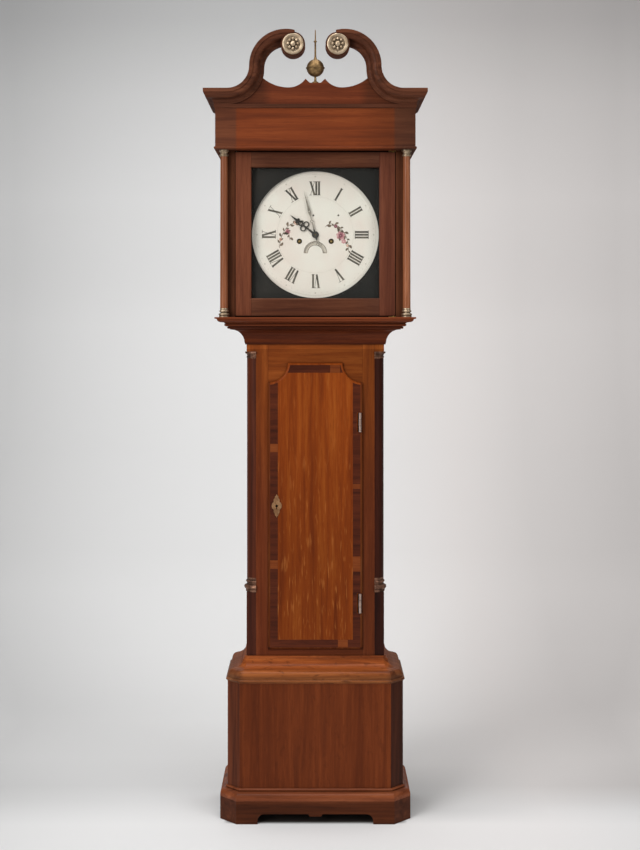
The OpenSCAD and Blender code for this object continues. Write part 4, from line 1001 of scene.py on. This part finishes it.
@dataclass
class Case(Dressed):
    """Fixed case: trunk, base and plinth."""

    # Painted shade and light: the frame is darker towards the bottom and to the right, with a painted
    # highlight along the top edge of the head rail.
    oak_front: Wood = Wood(
        "trunk_oak", srgb(104, 48, 16), srgb(132, 64, 22), srgb(154, 82, 34), rays=0.25, rail_half=0.1235,
        tones_and_shades=(ToneAndShade("Z", 1.16, 0.80, colour=(0.60, 0.56, 0.98)),
               ToneAndShade("X", -0.10, 0.15, colour=(0.82, 0.86, 0.84)),
               ToneAndShade("Z", 1.2200, 1.2215, colour=(1.35, 1.40, 1.45))), nodes=("trunk_front_frame",))
    # Painted shade: the sides are darker towards the bottom.
    oak_side: Wood = Wood(
        "side_oak", srgb(84, 42, 22), srgb(110, 58, 30), srgb(132, 74, 40),
        tones_and_shades=(ToneAndShade("Z", 1.16, 0.60, colour=(0.72, 0.68, 0.9)),), nodes=("trunk_sides",))
    oak_base: Wood = Wood(
        "base_oak", srgb(86, 38, 16), srgb(103, 47, 19), srgb(120, 58, 26), streaks=60.0, rays=0.3,
        specks=0.3, nodes=("base_front_panel", "base_sides"))
    # Painted shade and a painted grey reflection: the returned ends are darker and greyer; the lower band
    # is also greyer.
    bright: Wood = Wood(
        "base_moulding_wood", srgb(112, 52, 22), srgb(150, 76, 33), srgb(182, 100, 48), Grain.ACROSS,
        rays=0.3, specks=0.8, coat=0.08, roughness=0.36,
        tones_and_shades=(ToneAndShade("X", 0.183, 0.200, True, (0.60, 0.66, 0.90)),
               ToneAndShade("Z", 0.392, 0.372, colour=(0.82, 1.10, 1.45))), nodes=("base_top_moulding",))
    moulding: Wood = Wood(
        "plinth_moulding_wood", srgb(88, 44, 24), srgb(122, 64, 37), srgb(150, 85, 52), Grain.ACROSS,
        coat=0.08, roughness=0.36, nodes=("plinth_moulding",))
    # Painted shade: these colours are darker to stand for the shade that falls on the throat beneath the
    # hood's overhang.
    throat: Wood = Wood(
        "throat_mahogany", srgb(58, 24, 11), srgb(82, 35, 16), srgb(106, 50, 24), Grain.ACROSS,
        nodes=("throat_moulding",))
    # Painted shade: the right column is darker than the left. Both are also darker and greyer at the foot.
    dark: Wood = Wood(
        "dark_mahogany", srgb(58, 26, 16), srgb(86, 40, 23), srgb(108, 53, 31),
        tones_and_shades=(ToneAndShade("X", -0.12, 0.12, colour=(0.40, 0.38, 0.42)),
               ToneAndShade("Z", 0.600, 0.584, colour=(0.62, 0.68, 0.88))), nodes=("quarter_columns",))
    # Painted shade: the right posts are darker than the left.
    corner: Wood = Wood(
        "corner_mahogany", srgb(64, 29, 15), srgb(92, 44, 23), srgb(114, 58, 31),
        tones_and_shades=(ToneAndShade("X", -0.12, 0.12, colour=(0.55, 0.56, 0.58)),), nodes=("base_corner_posts",))
    plinth: Wood = Wood(
        "plinth_mahogany", srgb(56, 26, 12), srgb(80, 39, 19), srgb(104, 54, 29), Grain.ACROSS,
        nodes=("plinth_skirt",))
    pine: Wood = Wood(
        "pine", srgb(104, 72, 44), srgb(134, 98, 62), srgb(154, 118, 80), streaks=30.0, roughness=0.6,
        nodes=("backboard", "seat_board"))


@dataclass
class Hood(Dressed):
    """Hood with its columns, cornice, pediment and glazed door."""

    carcase: Wood = Wood(
        "hood_oak", srgb(62, 34, 22), srgb(90, 51, 33), srgb(114, 69, 45), shine=0.05,
        nodes=("hood_carcase",))
    foot: Wood = Wood(
        "hood_foot_mahogany", srgb(82, 37, 19), srgb(108, 52, 27), srgb(134, 68, 38), Grain.ACROSS,
        coat=0.03, nodes=("hood_base_moulding",))
    # The frieze's ends are a darker veneer; painted shade also darkens its right end.
    frieze: Wood = Wood(
        "frieze_mahogany", srgb(92, 42, 21), srgb(119, 57, 28), srgb(138, 71, 37), Grain.ACROSS,
        streaks=40.0, nodes=("frieze",),
        tones_and_shades=(ToneAndShade("X", 0.200, 0.206, True, (0.72, 1.0, 1.55)),
               ToneAndShade("X", 0.10, 0.25, colour=(0.58, 0.66, 0.76))))
    crown: Wood = Wood(
        "crown_mahogany", srgb(58, 34, 23), srgb(86, 49, 34), srgb(114, 69, 48), Grain.ACROSS,
        coat=0.02, shine=0.05, nodes=("cornice", "swan_necks"))
    board: Wood = Wood(
        "pediment_mahogany", srgb(76, 34, 19), srgb(98, 46, 25), srgb(118, 60, 34), Grain.ACROSS,
        tones_and_shades=(ToneAndShade("X", 0.110, 0.135, True, (0.62, 0.72, 0.80)),), nodes=("pediment_board",))
    column: Wood = Wood(
        "column_wood", srgb(104, 57, 34), srgb(138, 82, 52), srgb(166, 107, 73), coat=0.04,
        roughness=0.32, shine=0.16, nodes=("hood_columns",))
    # Painted light: the left stile stays lighter and the rest of the frame darker; the rails are a darker
    # tone of the wood.
    door: Wood = Wood(
        "hood_door_mahogany", srgb(88, 46, 31), srgb(114, 64, 43), srgb(136, 81, 56), rail_half=0.1655,
        tones_and_shades=(ToneAndShade("X", -0.17, -0.13, colour=(0.84, 0.78, 0.76)),
               ToneAndShade("X", 0.10, 0.17, colour=(0.92, 1.0, 1.15)),
               ToneAndShade("X", 0.1657, 0.1653, True, (0.78, 0.92, 0.98))), nodes=("hood_door_frame",))
    mask: Paint = Paint(
        "mask_paint", srgb(27, 25, 22), srgb(52, 46, 40), 0.5, 7.0, 0.6, 0.06, nodes=("dial_mask",))
    glass: WindowGlass = WindowGlass(nodes=("hood_glass",))


@dataclass
class TrunkDoor(Dressed):
    """Trunk door with its inlays, and the small fixings on it.

    A side block is its side, height and half length, a level block its place across, end and half length.
    """

    # Painted shade: the door is darker towards the bottom, and along its moulded lip at the sides and the
    # foot.
    oak: Wood = Wood(
        "door_oak", srgb(110, 45, 10), srgb(140, 64, 17), srgb(162, 86, 30), streaks=62.0,
        rays=0.62, ray_fade=(0.60, 1.00), ray_colour=srgb(194, 120, 60), shade=0.6, wear=0.08,
        tones_and_shades=(ToneAndShade("Z", 1.12, 0.66, colour=(0.74, 0.72, 0.66)),
               ToneAndShade("X", 0.1172, 0.1182, True, (0.52, 0.56, 0.90)),
               ToneAndShade("Z", 0.4425, 0.4412, colour=(0.52, 0.56, 0.90))), nodes=("trunk_door",))
    banding: Wood = Wood(
        "crossbanding", srgb(54, 24, 14), srgb(78, 35, 20), srgb(95, 45, 26), Grain.ACROSS,
        streaks=80.0, wear=0.1, nodes=("door_crossbanding",))
    block: Wood = Wood(
        "banding_block", srgb(96, 44, 20), srgb(120, 59, 26), srgb(138, 74, 36), Grain.ACROSS, wear=0.1)
    band_half: float = 0.010
    block_rise: float = 0.00025
    pin_away: float = 0.020
    pin_radius: float = 0.0017
    pin_rise: float = 0.0009
    side_blocks: tuple[Triple, ...] = (
        (-1.0, 0.6575, 0.011), (-1.0, 0.962, 0.011), (1.0, 0.659, 0.020), (1.0, 0.8615, 0.006))
    level_blocks: tuple[Triple, ...] = ((0.052, 1.0, 0.013), (0.072, -1.0, 0.013))

    def blocks(self) -> None:
        """Lets light blocks into the crossbanding at the sides, the top and the bottom."""
        low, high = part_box("door_crossbanding")
        side_x = float(high[0]) - self.band_half
        paths = [[[side * side_x, up - half], [side * side_x, up + half]]
                 for side, up, half in self.side_blocks]
        for middle, end, half in self.level_blocks:
            z = float(high[2]) - self.band_half if end > 0 else float(low[2]) + self.band_half
            paths.append([[middle - half, z], [middle + half, z]])
        drawing = strokes([(np.array(p), self.band_half) for p in paths], self.block_rise, Section.PLATE)
        Front("trunk_door", "mahogany", float(low[1])).put("banding_blocks", drawing, self.block.build())

    def pins(self, brass: Material) -> None:
        """Sets the two round pins that hold the escutcheon.

        Args:
            brass: Finish of the pins.
        """
        low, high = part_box("escutcheon")
        middle_x, middle_z = (float(low[i] + high[i]) / 2 for i in (0, 2))
        places = np.array([[0.0, -self.pin_away], [0.0, self.pin_away]])
        Front("trunk_door", "old_brass", float(low[1]), middle_x, middle_z).put(
            "escutcheon_pins", domes(places, self.pin_radius, self.pin_rise, 12, 3), brass)


@dataclass
class Works(Dressed):
    """Metalwork: fittings, dial, movement, pendulum and weights."""

    old_brass: Metal = Metal(
        "old_brass", srgb(158, 128, 88), srgb(78, 60, 40), 0.42, 0.75, nodes=("finial",))
    dull_brass: Metal = Metal(
        "dull_column_brass", srgb(146, 108, 88), srgb(72, 49, 40), 0.48, 0.85,
        nodes=("trunk_column_brasses",))
    gilt: Metal = Metal(
        "stamped_brass", srgb(196, 176, 150), srgb(118, 94, 68), 0.38, 0.6,
        nodes=("hood_column_brasses", "rosettes"))
    warm: Metal = Metal(
        "escutcheon_brass", srgb(190, 146, 106), srgb(104, 72, 48), 0.38, 0.7, nodes=("escutcheon",))
    hinge: Metal = Metal(
        "hinge_metal", srgb(190, 168, 156), srgb(120, 98, 88), 0.42, 0.5,
        nodes=("trunk_hinge_case_leaves", "trunk_hinge_door_leaves"))
    brass: Metal = Metal(
        "yellow_brass", srgb(212, 176, 104), srgb(140, 104, 58), 0.30, 0.4, 0.1,
        nodes=("hood_door_pivots", "movement_plates", "back_cock", "escape_wheel", "third_wheel",
               "centre_wheel", "going_great_wheel", "strike_great_wheel", "minute_wheel", "pin_wheel",
               "going_barrel", "strike_barrel", "going_pulley", "strike_pulley", "pendulum_bob"))
    bell_metal: Metal = Metal(
        "bell_metal", srgb(200, 180, 140), srgb(130, 110, 80), 0.32, 0.5, nodes=("bell",))
    steel: Metal = Metal(
        "steel", srgb(170, 168, 164), srgb(96, 84, 74), 0.34, 0.5, 0.1,
        nodes=("pendulum_rod", "pallets", "hammer", "lock_bolt"))
    dark_hand: Paint = Paint(
        "dark_hand_paint", srgb(34, 30, 25), srgb(70, 62, 52), 0.4, 60.0, 0.7, 0.4, nodes=("hour_hand",))
    pale_hand: Paint = Paint(
        "worn_hand_gilding", srgb(156, 150, 136), srgb(96, 90, 78), 0.4, 60.0, 0.8, 0.4, 0.016,
        nodes=("minute_hand",))
    iron: Metal = Metal(
        "cast_iron", srgb(96, 92, 88), srgb(60, 44, 36), 0.55, 0.7,
        nodes=("trunk_lock", "going_weight", "strike_weight"))
    enamel: Paint = Paint(
        "dial_paint", srgb(225, 222, 209), srgb(219, 203, 190), 0.36, 7.0, 0.85, nodes=("dial",))
    date_paint: Paint = Paint(
        "date_paint", srgb(226, 222, 208), srgb(206, 194, 176), 0.45, 12.0, 0.8, nodes=("date_disc",))
    gut: Gut = Gut(nodes=("going_line", "strike_line"))


@dataclass
class WeightLine:
    """Gut line from a barrel down round a weight's pulley and up to the seat board."""

    node: str
    weight: str
    in_board: float = 0.010
    sides: int = 8

    def path(self, radius: float) -> np.ndarray:
        """Gives the line's middle path: a strand down, half a turn round the pulley, a strand up.

        Args:
            radius: Half of the line's thickness.

        Returns:
            Points (across, up) about the line's own middle.
        """
        low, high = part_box(self.node)
        reach = float(high[0] - low[0]) / 2 - radius
        foot = float(low[2]) + radius + reach
        ends = np.array([[-reach, float(high[2])],
                         [reach, float(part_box("seat_board")[0][2]) + self.in_board]])
        return np.concatenate([ends[:1], arc((0.0, foot), reach, 180.0, 360.0, 33), ends[1:]])

    def build(self, gut: Material) -> None:
        """Makes the line as a tube along its path, in place of the model's own line.

        A point is the path's point plus the radius times the cosine of a turn along the path's normal
        and times its sine along Y.

        Args:
            gut: Finish of the line.
        """
        low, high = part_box(self.node)
        radius = float(high[1] - low[1]) / 2
        middle = (float(low[0] + high[0]) / 2, float(low[1] + high[1]) / 2)
        path = self.path(radius)
        step = np.gradient(path, axis=0)
        step[[1, -2]] = [[0.0, -1.0], [0.0, 1.0]]
        step /= np.linalg.norm(step, axis=1, keepdims=True)
        turn = np.linspace(0.0, 2 * math.pi, self.sides, endpoint=False)
        across = path[:, :1] + radius * np.cos(turn) * -step[:, 1:]
        up = path[:, 1:] + radius * np.cos(turn) * step[:, :1]
        deep = np.broadcast_to(radius * np.sin(turn), across.shape)
        points = np.stack([middle[0] + across, middle[1] + deep, up], axis=-1).reshape(-1, 3)
        fan = np.array([[0, 1, 2, 3], [0, 3, 4, 5], [0, 5, 6, 7]])
        faces = np.concatenate([grid_faces(len(path), self.sides), fan, fan + (len(path) - 1) * self.sides])
        piece = new_piece(f"{self.node}_gut", points, faces, gut, None)
        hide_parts(self.node)
        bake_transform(piece)


@dataclass(frozen=True)
class Lamp:
    """Soft rectangular lamp: its place, the point that it faces, its width and height, and its power."""

    name: str
    place: Triple
    target: Triple
    size: Span
    watts: float

    def build(self) -> None:
        """Adds the lamp."""
        data = bpy.data.lights.new(self.name, "AREA")
        data.shape = "RECTANGLE"
        data.size, data.size_y = self.size
        data.energy = self.watts
        lamp = bpy.data.objects.new(self.name, data)
        lamp.location = self.place
        x, y, z = np.array(self.target) - np.array(self.place)
        lamp.rotation_euler = (math.pi / 2 + math.atan2(z, math.hypot(x, y)), 0.0, math.atan2(-x, y))
        bpy.context.scene.collection.objects.link(lamp)


@dataclass
class Studio:
    """Camera, lamps, and a pale sweep that is floor and backdrop in one."""

    camera_at: Triple = (0.0, -3.6295, 1.2836)
    lens: float = 58.2
    shift: Span = (0.0055, -0.1176)
    floor_front: float = -7.0
    floor_back: float = 1.0
    bend: float = 1.5
    height: float = 6.0
    half_width: float = 7.0
    paint: Colour = (0.880, 0.880, 0.880)
    # Painted shade on the floor beneath the clock's base.
    shade_under_clock: Colour = (0.06, 0.05, 0.045)
    wall_span: Span = (0.0, 2.8)
    floor_span: Span = (-1.0, 1.5)
    seen_grey: Colour = (0.62, 0.62, 0.62)
    dim_light: Colour = (1.0, 0.98, 0.95)
    dim_strength: float = 0.12
    lamps: tuple[Lamp, ...] = (
        Lamp("key", (-2.9, -3.6, 2.9), (0.0, 0.0, 1.1), (2.4, 3.0), 165.0),
        Lamp("fill", (3.2, -3.2, 2.0), (0.0, 0.0, 1.0), (1.8, 2.4), 42.0),
        Lamp("top", (0.0, -1.2, 4.4), (0.0, 0.3, 0.6), (3.0, 2.0), 75.0),
        Lamp("backdrop", (0.0, 0.9, 4.6), (0.0, 2.5, 1.4), (4.0, 1.0), 60.0))
    # Painted light and shadow on the floor to the right: a warmer tone, a brighter and cooler pool of light
    # at the front, and a painted shadow beside the clock.
    patches: tuple[ShadeAndLightPatch, ...] = (
        ShadeAndLightPatch((1.0, 0.960, 0.945), (Edge("X", 0.1, 0.6),)),
        ShadeAndLightPatch((1.12, 1.16, 1.18), (Edge("X", 0.28, 0.9), Edge("Y", 0.20, 0.0))),
        ShadeAndLightPatch((0.80, 0.81, 0.81), (Edge("X", 0.62, 0.30), Edge("X", 0.0, 0.2), Edge("Y", -0.09, 0.0),
                                   Edge("Y", 0.38, 0.12))))
    # Painted light falloff: the wall darkens towards the top.
    wall_painted_falloff: tuple[Span, ...] = (
        (0.0, 1.0), (0.027, 1.03), (0.13, 0.96), (0.266, 0.955), (0.458, 0.99), (0.6575, 0.905),
        (0.817, 0.72), (0.943, 0.515), (1.0, 0.45))
    # Painted shade: the floor is darker in a band just behind the clock and towards its far ends.
    floor_painted_shade: tuple[Span, ...] = (
        (0.0, 0.86), (0.16, 0.98), (0.36, 0.96), (0.43, 0.82), (0.48, 0.78), (0.58, 0.87), (0.73, 0.91),
        (0.88, 0.88), (1.0, 0.84))

    def camera(self) -> None:
        """Sets a level camera in front of the clock."""
        data = bpy.data.cameras.new("camera")
        data.lens = self.lens
        data.sensor_width = 36.0
        data.shift_x, data.shift_y = self.shift
        data.clip_start, data.clip_end = 0.05, 60.0
        camera = bpy.data.objects.new("camera", data)
        camera.location = self.camera_at
        camera.rotation_euler = (math.pi / 2, 0.0, 0.0)
        bpy.context.scene.collection.objects.link(camera)
        bpy.context.scene.camera = camera

    def sweep(self) -> None:
        """Makes the sweep: a flat floor, a quarter circle and an upright wall, carried along X.

        A point is (x, y(t), z(t)), where y and z follow the profile from the floor's front edge.
        """
        turn = np.linspace(0, math.pi / 2, 25)
        floor = np.linspace(self.floor_front, self.floor_back, 30)[:-1]
        wall = np.linspace(self.bend, self.height, 21)[1:]
        along = np.concatenate([floor, self.floor_back + self.bend * np.sin(turn),
                                np.full(len(wall), self.floor_back + self.bend)])
        up = np.concatenate([np.zeros(len(floor)), self.bend * (1 - np.cos(turn)), wall])
        across = np.linspace(-self.half_width, self.half_width, 41)
        x, row = np.meshgrid(across, np.arange(len(along)), indexing="xy")
        points = np.stack([x, along[row], up[row]], axis=-1).reshape(-1, 3)
        mesh = bpy.data.meshes.new("studio_sweep")
        mesh.from_pydata(points.tolist(), [], grid_faces(len(along), len(across), False).tolist())
        mesh.polygons.foreach_set("use_smooth", np.ones(len(mesh.polygons), dtype=bool))
        mesh.materials.append(self.sweep_paint())
        sweep = bpy.data.objects.new("studio_sweep", mesh)
        bpy.context.scene.collection.objects.link(sweep)

    def sweep_colour(self, graph: Graph) -> Socket:
        """Mixes the sweep's colour, with painted light falloff to the sides and the top, painted light and
        shadow to the right of the clock and painted shade beneath it.

        Args:
            graph: The material's tree.

        Returns:
            The colour.
        """
        x, y, z = (graph.axis(letter) for letter in "XYZ")
        wall = [(place, toned(self.paint, tone)) for place, tone in self.wall_painted_falloff]
        floor = [(place, (tone,) * 3) for place, tone in self.floor_painted_shade]
        colour = graph.blend("MULTIPLY", 1.0, graph.ramp(graph.spread(z, self.wall_span), wall),
                             graph.ramp(graph.spread(y, self.floor_span), floor))
        # Painted falloff: the sweep darkens towards the sides, more at the front than at the back, with a
        # lift far to the right.
        square = graph.sum("MULTIPLY", graph.sum("MULTIPLY", x, x), graph.spread(y, (0.8, 1.8), (2.0, 1.0)))
        side = graph.sum("MULTIPLY", graph.spread(square, (0.1, 1.8), (1.0, 0.75)),
                         graph.spread(x, (0.9, 1.4), (1.0, 1.16)))
        colour = graph.blend("MULTIPLY", 1.0, colour, graph.grey(side))
        # Painted shade on the floor beneath the clock's base.
        low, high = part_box("plinth_skirt")
        shade_under_clock = ShadeAndLightPatch(self.shade_under_clock, (Edge("X", high[0] - 0.01, high[0] - 0.03, True),
                                   Edge("Y", low[1] + 0.004, low[1] + 0.020),
                                   Edge("Y", high[1], high[1] - 0.02)))
        # Lays the painted light and shade patches, the last beneath the clock.
        for patch in (*self.patches, shade_under_clock):
            amount = graph.share(patch.edges[0])
            for edge in patch.edges[1:]:
                amount = graph.sum("MULTIPLY", amount, graph.share(edge))
            colour = graph.blend("MULTIPLY", amount, colour, patch.colour)
        return colour

    def sweep_paint(self) -> Material:
        """Makes the sweep's matt paint, see-through from behind, so that the clock's back can be seen.

        Returns:
            The finished material.
        """
        graph = Graph("studio_paint")
        graph.dress(self.sweep_colour(graph), 0.9, specular_ior_level=0.1)
        behind = graph.add("ShaderNodeNewGeometry").outputs["Backfacing"]
        clear = graph.add("ShaderNodeBsdfTransparent").outputs["BSDF"]
        mix = graph.add("ShaderNodeMixShader", {"Fac": behind, 1: graph.shader.outputs["BSDF"], 2: clear})
        graph.fill(graph.output, {"Surface": mix.outputs["Shader"]})
        return graph.material

    def world(self) -> None:
        """Fills the scene with a dim even light that looks pale to the camera."""
        world = bpy.data.worlds.new("studio_world")
        world.use_nodes = True
        tree = Tree(world.node_tree)
        pale = tree.add("ShaderNodeBackground", {"Color": self.seen_grey, "Strength": 1.0})
        dim = tree.add("ShaderNodeBackground", {"Color": self.dim_light, "Strength": self.dim_strength})
        seen = tree.add("ShaderNodeLightPath").outputs["Is Camera Ray"]
        mix = tree.add("ShaderNodeMixShader", {"Fac": seen, 1: dim.outputs[0], 2: pale.outputs[0]})
        tree.add("ShaderNodeOutputWorld", {"Surface": mix.outputs["Shader"]})
        bpy.context.scene.world = world

    def build(self) -> None:
        """Sets up the whole studio."""
        self.camera()
        self.sweep()
        self.world()
        for lamp in self.lamps:
            lamp.build()


def dress(nodes: dict[str, bpy.types.Object], finishes: dict[str, Finish]) -> dict[str, Material]:
    """Gives each node its material.

    Args:
        nodes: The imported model's objects by node name.
        finishes: The finish of each node.

    Returns:
        The materials made, by the finishes' names.
    """
    made: dict[str, Material] = {}
    for name, finish in finishes.items():
        if finish.name not in made:
            made[finish.name] = finish.build()
        mesh = nodes[name].data
        if not mesh.materials:
            mesh.materials.append(made[finish.name])
        for place in nodes[name].material_slots:
            place.material = made[finish.name]
        log.info("%s is finished in %s", name, finish.name)
    return made


def main() -> None:
    """Loads the model, dresses it, paints the dial and sets up the studio."""
    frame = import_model()
    bpy.context.scene.view_settings.view_transform = "Standard"
    case, hood, door, works = Case(), Hood(), TrunkDoor(), Works()
    made = dress(frame["nodes"], case.finishes() | hood.finishes() | door.finishes() | works.finishes())
    door.blocks()
    door.pins(made[works.warm.name])
    for line in (WeightLine("going_line", "going_weight"), WeightLine("strike_line", "strike_weight")):
        line.build(made[works.gut.name])
    DialPainting().build()
    Studio().build()


if __name__ == "__main__":
    main()
